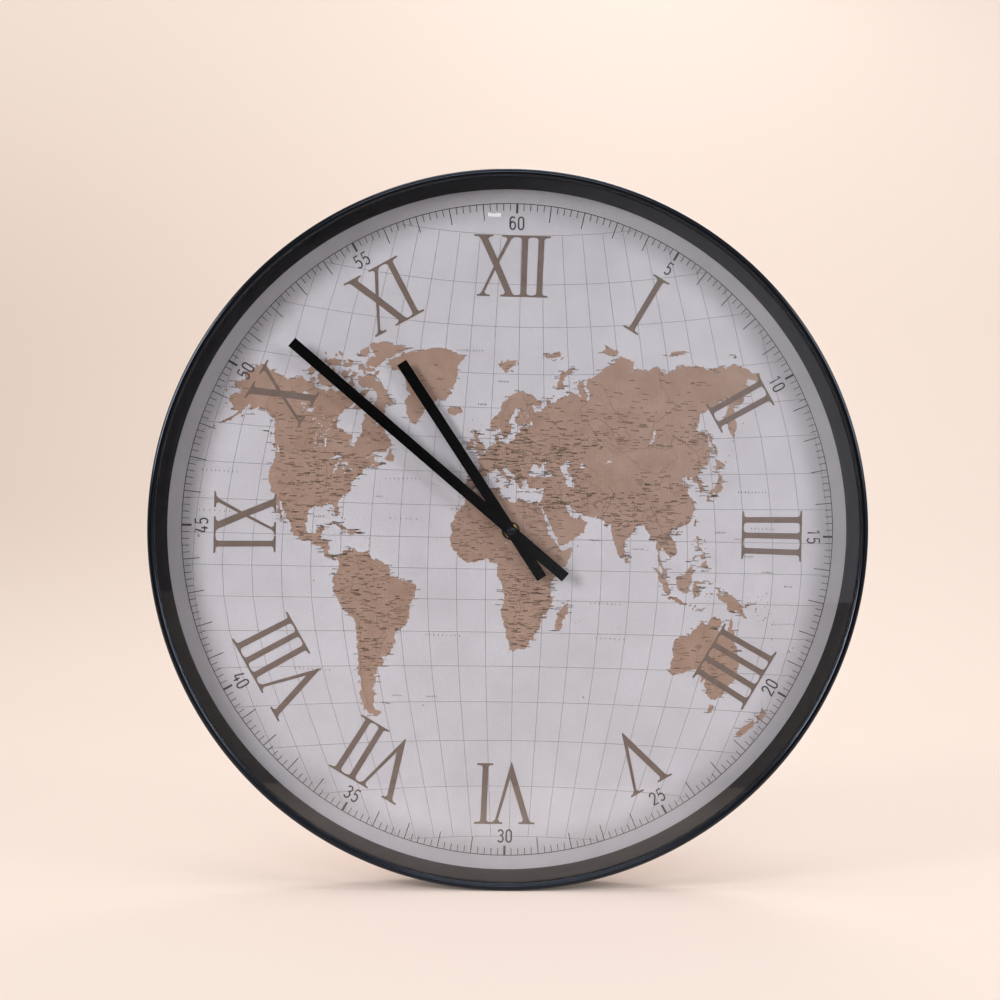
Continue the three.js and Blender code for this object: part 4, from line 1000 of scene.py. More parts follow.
WATERS = """28.2 41.6,27.6 42.5,28.6 43.8,29.7 45,31.5 46.6,33 46,33.6 44.5,35.4 45,36.2 45.5,
35 46.3,38.5 47,38 46,37.3 45.2,39.7 43.6,41.6 42,39.5 41,36.3 41.4,33 42,31.2 41.2
47 44.8,49.2 46.5,53 46.8,53 45.3,51 44.6,50.8 43.5,52.8 41.5,53.8 39,53.8 36.9,50.3 37.3,49 38.7,
49.5 40.4,48 42,47.5 43.6
58.5 45.5,61 46.5,61 44.2,59 43.7
104 51.6,106.2 53,109.5 55.7,109.9 55,107.8 52.8
74 45.5,76 46.8,79 46.6,76 46
30.8 60,30.8 61.4,33 61,32 60"""
AFRICAN_WATERS = "31.8 -0.3,34 0,33.8 -2,32 -2.5\n13.2 13.3,14.4 13.5,14.4 12.7"
AMERICAN_WATERS = """-92 46.8,-88.5 48.6,-85 47.8,-84.7 46.6,-88 47
-87.7 42,-87.5 44.5,-85.8 45.8,-86.3 43,-86.8 41.8
-84.5 45.9,-81 46,-80 44.6,-82.2 43.3,-83.6 44.5
-83.2 41.8,-79 42.8,-81.5 41.5
-79.7 43.3,-76.5 44.1,-77 43.3
-124 66,-121 66.8,-118.5 66,-121.5 65.2
-116.5 61.2,-114 62.2,-110.5 62.8,-113 61
-111 59.4,-107.5 59.5,-109.5 58.9
-98.7 53.6,-97.3 51,-96.5 50.5,-97.2 53.6
-103 57.6,-102 57.6,-102.6 56.4"""
# Small islands as longitude, latitude and width in millimetres
ISLETS = """-155.5 19.6 2.6,-157.6 21.2 1.6,-159.8 22 1.2,-16.5 28.3 1.6,-14 28.6 1.4,-24 15 1.2,
-28 38.6 1.2,-25.5 37.8 1.2,-78 24.8 1.6,-76 24 1.2,-77.5 26.3 1.4,-61.5 16 1.1,-61 14.3 1.1,
-61.4 10.5 1.5,-91 -0.6 1.5,53.8 12.5 1.5,55.5 -21 1.1,57.6 -20.2 1.1,44 -12 1.1,92.8 12 1.2,
127.8 0.8 2.6,129.3 -3.1 2.3,126.6 -3.4 1.8,121 -8.6 2.4,118 -8.6 2.2,120 -9.8 1.8,115.2 -8.5 1.3,
155 -6.2 1.8,160 -9.6 1.7,161 -8.6 1.4,167 -15.4 1.5,168.3 -17.7 1.1,178 -17.8 1.7,179.6 -16.4 1.4,
126.5 33.4 1.3,147 44.3 1.6,150 46.2 1.4,152.8 47.8 1.1,155.6 50.3 1.4,166 55 1.4,-170.3 63.4 2.2,
-166.3 60.1 1.8,69.5 -49.3 1.7,-36.8 -54.4 1.6,-7 62 1.1,-1.2 60.3 1.1,-7 57.8 1.3,18.5 57.5 1.2,
49 69.1 1.8,59.5 70 1.7,-166.8 53.7 2,-169 53 1.6,-172 52.5 1.4,-175 52.1 1.4,-178 51.8 1.5,
-181 51.9 1.3,-183.5 52.3 1.3,11.6 55.5 1.5,39.4 -6 1.1,2.9 39.6 1.4,-83.5 62.2 1.5,-79.5 56.2 1.2,
107 -2.5 1.5,135.8 -1 1.4,145 -14 0.9"""
RIVERS = """30.5 31.2,31 27,32.8 24,31 20,33.5 18,32.5 15.5,32 10,31.5 5,32 1
6 4.6,6.5 8,4 12,0 16,-4 15,-8 12,-10 9.5
12.5 -6,16 -3,18 1,22 2,25.5 0,27 -6,27 -11
-50.5 -0.5,-55 -2.3,-60 -3.2,-66 -2.6,-70 -4,-74 -4.5,-76 -10
-58.5 -34,-60.5 -32,-58.8 -27.4,-54.5 -25,-52 -20
-61 9,-65 7.8,-67.5 6,-66 3
-89.4 29.2,-91.2 32,-90 35.5,-90.2 38.7,-91.2 42,-93.2 45
-90.2 38.7,-95 39.3,-96.5 42.5,-101 46.5,-106 48,-111 47.5
-134.5 69,-129 66,-123 62,-116.5 61.2
-164.5 62.7,-158 64.5,-150 65.5,-142 65,-137 62.5
-114.8 31.8,-114.5 35,-111 37,-109 39.5
29.5 45.2,27 44,22.5 44.6,19 47,16 48.2,10 48.5
48 46,45 48.7,48 52,49 55.5,44 56.3,38 57,33 57
72 66.5,66.5 65,65 62,69 61,77 60.8,83 57,84 53,87 50
69 61,71 57.5,74 54,80 50
83 71.5,86 67,88.5 63,92 58,92.5 54,94 52
127 72.5,124 68,126 64,130 62,120 60,110 57.5,106 54.5
141 53,136 49,131 48,126 51,121 53.3,115 50
119 37.7,114 35,110.5 35,110.5 40,107 40.5,104 36,99 35
121.5 31.5,117 31,112 30,107 29.5,103 27,99.5 29,95 34
106.5 10,105.5 15,101 20,99 25,96 31
90 23,85 25.5,80 26,78 30
90 24,92 26.5,95 28.5,88 29.3,82 30
67.5 24,69 28,72 32.5,75 35
48.5 30,45 32.5,42 36,39 38
59 43.5,63 39,68 37
61 46,67 43,71 41
139 -35.5,142 -34.2,147 -36
36.2 -18.7,32 -16,26 -17.8,23 -14
16.5 -28.6,21 -28.6,25 -30"""
BORDERS = """-123 49,-95.2 49,-88 48.2
-82.5 43,-79 43.3,-75 45,-71 45.2,-69 47.3,-67.5 45.5
-141 69.6,-141 60.3,-135 59.5,-130 56
-117 32.5,-111 31.3,-106.5 31.8,-103 29,-101 29.8,-99 26.5,-97.3 25.9
-110 49,-110 60
-120 60,-102 60,-94.8 60
-102 49,-102 60
-95.2 49,-95.2 52.8,-89 56.9
-51.6 4.2,-55 2.3,-60 4.8,-64 3,-67 1.2,-69.8 -1,-70 -4.3,-73.5 -7.5,-70.5 -9.5,-65.3 -11,-60.5 -14,
-58 -17.5,-57.8 -22,-54.3 -24.5,-54 -27,-57.5 -30,-53.5 -33.5
-69.5 -17.6,-68 -23,-70 -31,-71.5 -38,-72 -46,-72 -51.5,-68.5 -52.2
49 46.5,48 50,55 51,61 53.5,69 55,77 53.5,83 51,87 49.2
87 49.2,98 50.5,106 50.3,116 49.8,121 53.3,131 48,131 43
88 48,96 43,105 41.7,112 44,119.5 46.7,116 49.8
74 37,79 32,85 28.2,92 27.8,97 28.3,101 21.5,107.8 21.6
44.5 39.7,46 33,48.4 30
61 25.2,61 31,61 36.5,54 37.4
68.3 23.8,71 28,74.5 31.5,77.5 35.2
2.5 51,8 49,7 46,7.5 43.8
14.2 53.9,15 51,12.3 50.2,13.5 48.7,10 47.5,7.6 47.6
23 54,24 50.5,22.5 49,17 48.5
28 59.4,28 56,31 53,34 52,40 49.5,38.3 47
28.5 69.8,30 66,31 62.5,28 60.6
11.3 59.1,12.3 62,14 65,20.5 69
9 37,8 33,10 30,10 24,14 22.5,24 19.5,24 31.8
25 22,36.8 22
-8.7 27.5,-4.8 25,3 19,12 23.5
15 23,13.5 13.5,14 9,16 4
24 19.5,22 12,27.5 5,34 4.5,36 4.3,42 4,41.5 -1.7
30.5 -1,29.5 -4.5,30.5 -8.5,34 -9.5,40.5 -10.5
12.5 -5.9,17 -8,22 -8,24 -11,22 -13,23.4 -17.6,14 -17.4
20 -28.4,20 -22,21 -18
129 -14.9,129 -31.6
138 -16.5,138 -26,141 -26,141 -38
129 -26,138 -26
141 -29,149 -29,153 -28.2"""
# Fields of small marks: west, south, east, north and how many rows of marks to try
MARK_FIELDS = (
    (-10, 36, 30, 60, 330), (30, 28, 62, 52, 170), (62, 8, 90, 35, 150), (90, 10, 122, 42, 150),
    (30, 50, 140, 62, 150), (-125, 27, -70, 49, 200), (-135, 50, -60, 60, 80),
    (-140, 58, -62, 70, 40), (-118, 8, -60, 28, 170), (-82, -40, -35, 10, 320),
    (-18, 0, 45, 36, 290), (10, -34, 42, 0, 220), (95, -11, 150, 18, 170),
    (113, -38, 153, -12, 110), (125, 30, 145, 55, 110), (30, 62, 170, 72, 60),
    (-50, 62, -25, 80, 8))
# Lake country and broken coasts: west, south, east, north, specks and the width of the widest
LAKE_FIELDS = (
    (-105, 50, -96, 61, 44, 1.5), (-121, 60, -111, 66, 9, 2.0), (-80, 51, -66, 58, 9, 1.1),
    (24, 61, 31, 66, 12, 1.2))
REEF_FIELDS = (
    (-122, 69, -78, 79, 46, 4.5), (-78.0, 61, -66, 70, 12, 3.0), (-76, -55, -73, -42, 22, 2.0),
    (118, 5, 126, 18, 18, 2.0), (21, 35, 28, 40, 16, 1.2), (-86, 12, -61, 25, 26, 1.2),
    (5, 58, 14, 66, 14, 1.2), (98, -6, 132, 1, 22, 1.6), (145, -12, 168, 2, 20, 1.4),
    (-8, 55, -3, 59, 9, 1.3), (48, 79, 62, 81, 10, 2.0), (12, 77, 28, 80.5, 12, 2.4))
# Sea marks: longitude, latitude, ticks in the row and gap between them in millimetres
SEA_MARKS = (
    (-152, 41, 9, 3.6), (-148, 28, 7, 4.2), (-45, 40, 9, 3.6), (-42, 24, 6, 4.4),
    (-10, 83, 9, 2.6), (158, 34, 9, 3.0), (160, 22, 7, 3.2), (72, -12, 8, 3.6), (78, -26, 7, 4.0),
    (-20, -28, 9, 3.6), (-98, -35, 9, 3.6), (172, -10, 8, 2.6), (0, 67, 5, 1.6), (15, 74, 6, 1.6),
    (-148, 58, 5, 1.6), (-90, 25, 5, 1.8), (-58, 33, 4, 1.6), (64, 15, 6, 1.6), (88, 12, 6, 1.6),
    (135, 20, 6, 1.6), (150, 12, 5, 1.5), (160, 7, 6, 1.5), (172, 3, 5, 1.5), (145, 18, 5, 1.5),
    (-30, -52, 6, 1.6), (-52, -50, 5, 1.6), (125, 5, 5, 1.4), (4, 34.6, 5, 1.4), (55, 74, 5, 1.4))

# Start of the draw of chances for coasts and marks
MAP_SEED = 7


def finer(line: Line, parts: int) -> Line:
    """Adds even steps between the points of a line.

    Args:
        line: The points.
        parts: Steps in each side.

    Returns:
        The finer line.
    """
    result: Line = []
    for start, stop in zip(line, line[1:]):
        result += [tuple(Vector(start).lerp(Vector(stop), i / parts)) for i in range(parts)]
    return result + [line[-1]]


@dataclass(frozen=True)
class Projection:
    """Where longitudes and latitudes fall on the dial: growth in millimetres to the radian."""

    greenwich: float = -25.5
    equator: float = -35.6
    across: float = 88.4
    lean: float = 2.8
    narrowing: float = 15.3
    up: float = 106.5
    polar_growth: float = 10.9
    side_growth: float = 4.3
    slope: float = 1.5
    droop: float = 2.3

    def spot(self, lon: float, lat: float) -> Point:
        """Where a longitude and latitude fall on the dial, in millimetres.

        Args:
            lon: Degrees east.
            lat: Degrees north.

        Returns:
            The point, right and up from the dial's centre.
        """
        east, north = math.radians(lon), math.radians(lat)
        wide = self.across + self.lean * north - self.narrowing * north ** 2
        tall = self.up + self.polar_growth * north ** 2 + self.side_growth * east ** 2
        bowed = self.equator + north * tall + self.slope * east - self.droop * east ** 2
        return self.greenwich + east * wide, bowed

    def read(self, text: str) -> list[Line]:
        """Shapes of a written list on the dial: one a line, or more lines that end in commas."""
        rows = text.replace(",\n", ",").split("\n")
        return [[self.spot(*map(float, pair.split())) for pair in row.split(",")] for row in rows]


@dataclass(frozen=True)
class Graticule:
    """Bent parallels and meridians; the parallels' heights are those on the middle line."""

    equator: float = -33.0
    north: tuple[float, ...] = (0.0, 26.4, 53.6, 82.0, 111.0, 137.0, 166.0, 206.0, 242.0, 283.5)
    south: tuple[float, ...] = (26.0, 53.6, 82.6, 113.0, 146.0, 185.0, 228.0)
    bend: float = 8.8e-6
    reach: int = 280
    stride: int = 8
    middle: float = 4.0
    spacing: float = 24.7
    each_side: int = 11
    north_narrowing: float = 0.0037
    south_narrowing: float = 0.0072
    parts: int = 6

    def bent(self, x: float, k: int, height: float) -> Point:
        """Point of the parallel k, moved away from the equator by the bend."""
        return x, height + math.copysign(self.bend * k * k * x * x, k)

    def lines(self) -> list[Line]:
        """Every parallel and meridian.

        Returns:
            The lines, which run on past the map's edge.
        """
        heights = {k: self.equator + rise for k, rise in enumerate(self.north)}
        heights.update({-k - 1: self.equator - drop for k, drop in enumerate(self.south)})
        places = range(-self.reach, self.reach + 1, self.stride)
        lines = [[self.bent(x, k, height) for x in places] for k, height in heights.items()]
        for j in range(-self.each_side, self.each_side + 1):
            meridian: Line = []
            for k in sorted(heights):
                narrowing = self.north_narrowing if k > 0 else self.south_narrowing
                x = self.middle + j * self.spacing * (1 - narrowing * k * k)
                meridian.append(self.bent(x, k, heights[k]))
            lines.append(finer(meridian, self.parts))
        return lines


@dataclass
class WorldMap:
    """Old-fashioned world map: brown land, thin grid, rivers, borders and rows of tiny marks."""

    projection: Projection = Projection()
    graticule: Graticule = Graticule()
    edge: float = 276.9
    washer_clear: float = 8.0
    washer_corners: int = 36
    land_height: float = 0.10
    line_height: float = 0.14
    grid_height: float = 0.08
    river_pen: float = 0.3
    border_pen: float = 0.34
    grid_pen: float = 0.4
    finest: float = 0.8
    widest_bay: float = 2.6
    roughness: float = 0.36
    least_speck: float = 0.35
    speck_corners: int = 7
    speck_long: float = 0.62
    speck_wide: float = 0.36
    speck_swing: Point = (0.7, 1.3)
    cut_steps: int = 8
    shortest_run: float = 1.0
    rng: random.Random = field(default_factory=lambda: random.Random(MAP_SEED))
    coasts: list[Line] = field(default_factory=list)

    def build(self) -> None:
        """Prints the map."""
        self.land()
        self.lines()
        self.grid()
        MapMarks(self).build()

    def ragged(self, outline: Line, closed: bool = True) -> Line:
        """Gives a plain outline the small bays and capes of a coast.

        Args:
            outline: Corners in order.
            closed: Whether the last corner joins the first.

        Returns:
            The outline with side steps between its corners.
        """
        ends = outline[1:] + outline[:1] if closed else outline[1:]
        result: Line = []
        for start, stop in zip(outline, ends):
            result.extend(self.broken(Vector(start), Vector(stop)))
        if not closed:
            result.append(outline[-1])
        return result

    def broken(self, start: Vector, stop: Vector) -> Line:
        """One side, broken at its middle again and again.

        Args:
            start: First end.
            stop: Second end.

        Returns:
            Points from the first end up to the second, which is left out.
        """
        side = stop - start
        if side.length < self.finest:
            return [tuple(start)]
        reach = min(side.length, self.widest_bay) * self.rng.uniform(-self.roughness, self.roughness)
        across = Vector((-side.y, side.x)).normalized() * reach
        middle = (start + stop) / 2 + across
        return self.broken(start, middle) + self.broken(middle, stop)

    def land(self) -> None:
        """Prints the land with its lakes and inland seas left bare."""
        ink = Ink("map_land", LAND_INK, self.land_height)
        mainlands = ((NORTH_AMERICA, AMERICAN_WATERS), (SOUTH_AMERICA, ""), (GREENLAND, ""),
                     (AFRICA, AFRICAN_WATERS), (EURASIA, WATERS), (AUSTRALIA, ""))
        corners = self.washer_corners
        bare = [[polar(self.washer_clear, -i * 360 / corners) for i in range(corners)]]
        for coast, waters in mainlands:
            self.coasts += self.projection.read(coast)
            if waters:
                bare += [self.ragged(water) for water in self.projection.read(waters)]
        self.coasts += self.projection.read(ISLANDS)
        printed = [self.ragged(coast) for coast in self.coasts]
        for entry in ISLETS.replace("\n", "").split(","):
            lon, lat, width = map(float, entry.split())
            middle = self.projection.spot(lon, lat)
            if math.hypot(*middle) < self.edge:
                printed.append(self.speck(middle, width))
        for fields, outlines in ((REEF_FIELDS, printed), (LAKE_FIELDS, bare)):
            for west, south, east, north, count, widest in fields:
                for _ in range(count):
                    lon, lat = self.rng.uniform(west, east), self.rng.uniform(south, north)
                    width = self.rng.uniform(self.least_speck, 1.0) * widest
                    outlines.append(self.speck(self.projection.spot(lon, lat), width))
        ink.area(printed, bare)
        ink.lay()

    def speck(self, middle: Point, width: float) -> Line:
        """Small uneven outline of an islet or a lake.

        Args:
            middle: Its middle on the dial.
            width: About how wide it is.

        Returns:
            Its few corners.
        """
        turn = self.rng.uniform(0, math.pi)
        result: Line = []
        for i in range(self.speck_corners):
            angle = i * math.tau / self.speck_corners
            along = width * self.speck_long * math.cos(angle) * self.rng.uniform(*self.speck_swing)
            aside = width * self.speck_wide * math.sin(angle) * self.rng.uniform(*self.speck_swing)
            result.append((middle[0] + along * math.cos(turn) - aside * math.sin(turn),
                           middle[1] + along * math.sin(turn) + aside * math.cos(turn)))
        return result

    def lines(self) -> None:
        """Prints rivers and borders on the land."""
        ink = Ink("map_lines", LINE_INK, self.line_height)
        for text, pen in ((RIVERS, self.river_pen), (BORDERS, self.border_pen)):
            ink.pen([self.ragged(line, False) for line in self.projection.read(text)], pen)
        ink.lay()

    def grid(self) -> None:
        """Prints the thin net of parallels and meridians inside the minute circle."""
        ink = Ink("map_grid", GRID_INK, self.grid_height)
        runs = [run for line in self.graticule.lines() for run in self.inside(line)]
        ink.pen(runs, self.grid_pen)
        ink.lay()

    def inside(self, line: Line) -> list[Line]:
        """Runs of a line that lie inside the minute circle and off the washer.

        Args:
            line: The points.

        Returns:
            The runs, cut where the line crosses a limit.
        """
        runs: list[Line] = []
        run: Line = []
        for start, stop in zip(line, line[1:]):
            for i in range(self.cut_steps):
                x, z = Vector(start).lerp(Vector(stop), i / self.cut_steps)
                if self.washer_clear < math.hypot(x, z) < self.edge:
                    if not run or i == 0 or len(run) == 1:
                        run.append((x, z))
                    last = (x, z)
                elif run:
                    runs.append(run + [last])
                    run = []
        if run:
            runs.append(run + [last])
        return [r for r in runs if math.dist(r[0], r[-1]) > self.shortest_run]


@dataclass
class MapMarks:
    """Rows of tiny plain ticks where an old map is crowded: on land, along shores and at sea."""

    world: WorldMap
    height: float = 0.19
    pen: float = 0.42
    edge_clear: float = 2.0
    land_count: tuple[int, int] = (3, 8)
    land_gap: Point = (0.7, 0.95)
    land_size: Point = (0.6, 1.1)
    land_slope: float = 0.08
    land_clear: float = 4.0
    half_gap: float = 0.4
    shore_parts: int = 4
    shore_chance: float = 0.19
    shore_count: tuple[int, int] = (3, 7)
    shore_gap: float = 0.8
    shore_size: Point = (0.6, 0.9)
    shore_slope: float = 0.06
    shore_clear: float = 10.0
    sea_size: float = 1.5
    sea_slope: float = 0.05
    tick_lean: Point = (-0.25, 0.35)
    tick_swing: Point = (0.7, 1.1)

    def build(self) -> None:
        """Prints all rows that lie inside the minute circle."""
        ticks = self.on_land() + self.along_shores() + self.at_sea()
        limit = self.world.edge - self.edge_clear
        ink = Ink("map_marks", MARK_INK, self.height)
        ink.pen([tick for tick in ticks if math.hypot(*tick[0]) < limit], self.pen)
        ink.lay()

    def on_land(self) -> list[Line]:
        """Rows scattered over the land.

        Returns:
            The ticks.
        """
        rng = self.world.rng
        rows = []
        for west, south, east, north, tries in MARK_FIELDS:
            for _ in range(tries):
                lon, lat = rng.uniform(west, east), rng.uniform(south, north)
                rows.append((*self.world.projection.spot(lon, lat), rng.randint(*self.land_count)))
        nearest = self.world.washer_clear + self.land_clear
        dry_rows = covered([row[:2] for row in rows], self.world.coasts)
        ticks: list[Line] = []
        for (x, z, count), dry in zip(rows, dry_rows):
            if dry and math.hypot(x + count * self.half_gap, z) > nearest:
                gap, size = rng.uniform(*self.land_gap), rng.uniform(*self.land_size)
                slope = rng.uniform(-self.land_slope, self.land_slope)
                ticks += self.row(x, z, count, gap, size, slope)
        return ticks

    def along_shores(self) -> list[Line]:
        """Rows that start or end at points of the coasts.

        Returns:
            The ticks.
        """
        rng = self.world.rng
        nearest = self.world.washer_clear + self.shore_clear
        shores = [finer(coast + coast[:1], self.shore_parts) for coast in self.world.coasts]
        ticks: list[Line] = []
        for x, z in [point for shore in shores for point in shore]:
            count = rng.randint(*self.shore_count)
            start = x - rng.choice((0.0, 1.0)) * count * self.shore_gap
            if rng.random() < self.shore_chance and math.hypot(x, z) > nearest:
                size = rng.uniform(*self.shore_size)
                slope = rng.uniform(-self.shore_slope, self.shore_slope)
                ticks += self.row(start, z, count, self.shore_gap, size, slope)
        return ticks

    def at_sea(self) -> list[Line]:
        """Wide rows on the seas.

        Returns:
            The ticks.
        """
        rng = self.world.rng
        ticks: list[Line] = []
        for lon, lat, count, gap in SEA_MARKS:
            x, z = self.world.projection.spot(lon, lat)
            slope = rng.uniform(-self.sea_slope, self.sea_slope)
            ticks += self.row(x - count * gap / 2, z, count, gap, self.sea_size, slope)
        return ticks

    def row(self, x: float, z: float, count: int, gap: float, size: float,
            slope: float) -> list[Line]:
        """One row of ticks.

        Args:
            x: Left end, right of the dial's centre.
            z: Foot of the row, above the dial's centre.
            count: Number of ticks.
            gap: Distance between them.
            size: Height of a tick.
            slope: Slope of the row.

        Returns:
            The ticks as lines of two points.
        """
        rng = self.world.rng
        result = []
        for i in range(count):
            foot = (x + i * gap, z + i * gap * slope)
            lean = rng.uniform(*self.tick_lean) * size
            result.append([foot, (foot[0] + lean, foot[1] + size * rng.uniform(*self.tick_swing))])
        return result


# Numbers

# Degrees between two points of a digit's arc
ARC_STEP = 18


def arc(x: float, y: float, wide: float, tall: float, start: int, stop: int) -> Line:
    """Points of an arc, counted anticlockwise in degrees from the right.

    Args:
        x: Centre across.
        y: Centre up.
        wide: Half width.
        tall: Half height.
        start: First angle.
        stop: Last angle.

    Returns:
        The points.
    """
    way = 1 if stop > start else -1
    angles = [math.radians(a) for a in range(start, stop + way, way * ARC_STEP)]
    return [(x + wide * math.cos(a), y + tall * math.sin(a)) for a in angles]


# Strokes of the narrow digits on a cell one wide and two tall; a loop ends where it starts
DIGIT_STROKES: dict[str, list[Line]] = {
    "0": [arc(0.5, 1.5, 0.5, 0.5, 0, 180) + arc(0.5, 0.5, 0.5, 0.5, 180, 360) + [(1.0, 1.5)]],
    "1": [[(0.12, 1.62), (0.58, 2.0), (0.58, 0.0)]],
    "2": [arc(0.5, 1.5, 0.5, 0.5, 180, -18)
          + [(0.9, 1.14), (0.06, 0.12), (0.0, 0.0), (1.04, 0.0)]],
    "3": [arc(0.48, 1.55, 0.48, 0.45, 162, -72) + [(0.4, 1.06)]
          + arc(0.48, 0.53, 0.52, 0.53, 80, -160)],
    "4": [[(0.5, 2.0), (0.0, 0.62), (0.0, 0.5), (1.1, 0.5)], [(0.78, 1.0), (0.78, 0.0)]],
    "5": [[(0.95, 2.0), (0.14, 2.0), (0.06, 1.08)] + arc(0.48, 0.62, 0.52, 0.62, 126, -144)],
    "6": [arc(0.5, 1.5, 0.5, 0.5, 36, 180) + arc(0.5, 0.5, 0.5, 0.5, 180, 360)
          + arc(0.5, 0.72, 0.5, 0.5, 0, 180) + [(0.0, 0.6)]],
}


@dataclass
class MinuteTrack:
    """Fine circle with five ticks to the minute and numbers every five minutes."""

    circle: float = 277.3
    facets: int = 288
    fine_tick: float = 6.0
    fine_degrees: float = 1.2
    fine_count: int = 300
    minute_tick: float = 14.0
    five_tick: float = 8.2
    circle_pen: float = 0.55
    fine_pen: float = 0.5
    minute_pen: float = 0.62
    five_pen: float = 1.8
    number_pen: float = 1.3
    number_radius: float = 260.8
    digit_width: float = 4.3
    digit_height: float = 10.4
    digit_step: float = 7.0
    height: float = 0.2

    def build(self) -> None:
        """Prints circle, ticks and numbers."""
        ink = Ink("minute_track", TRACK_INK, self.height)
        circle = [polar(self.circle, i * 360 / self.facets) for i in range(self.facets)]
        fine = [i * self.fine_degrees for i in range(self.fine_count) if i % 5]
        ink.pen([circle], self.circle_pen, closed=True)
        ink.pen([self.tick(degrees, self.fine_tick) for degrees in fine], self.fine_pen)
        ink.pen([self.tick(m * 6, self.minute_tick) for m in range(60) if m % 5], self.minute_pen)
        ink.pen([self.tick(m * 6, self.five_tick) for m in range(0, 60, 5)], self.five_pen)
        for minute in range(5, 61, 5):
            self.number(ink, minute)
        ink.lay()

    def tick(self, degrees: float, length: float) -> Line:
        """A tick that runs inwards from the circle."""
        return [polar(self.circle, degrees), polar(self.circle - length, degrees)]

    def number(self, ink: Ink, minute: int) -> None:
        """Prints one number; those in the lower half stand upright.

        Args:
            ink: The print.
            minute: The number.
        """
        text = str(minute)
        upright = 15 < minute < 45
        half = (self.digit_step * (len(text) - 1) + self.digit_width) / 2
        middle = -self.number_radius if upright else self.number_radius
        lines = []
        for i, digit in enumerate(text):
            for stroke in DIGIT_STROKES[digit]:
                lines.append([(i * self.digit_step - half + x * self.digit_width,
                               middle + (y / 2 - 0.5) * self.digit_height) for x, y in stroke])
        ink.pen(lines, self.number_pen, minute * 6 + (180 if upright else 0))


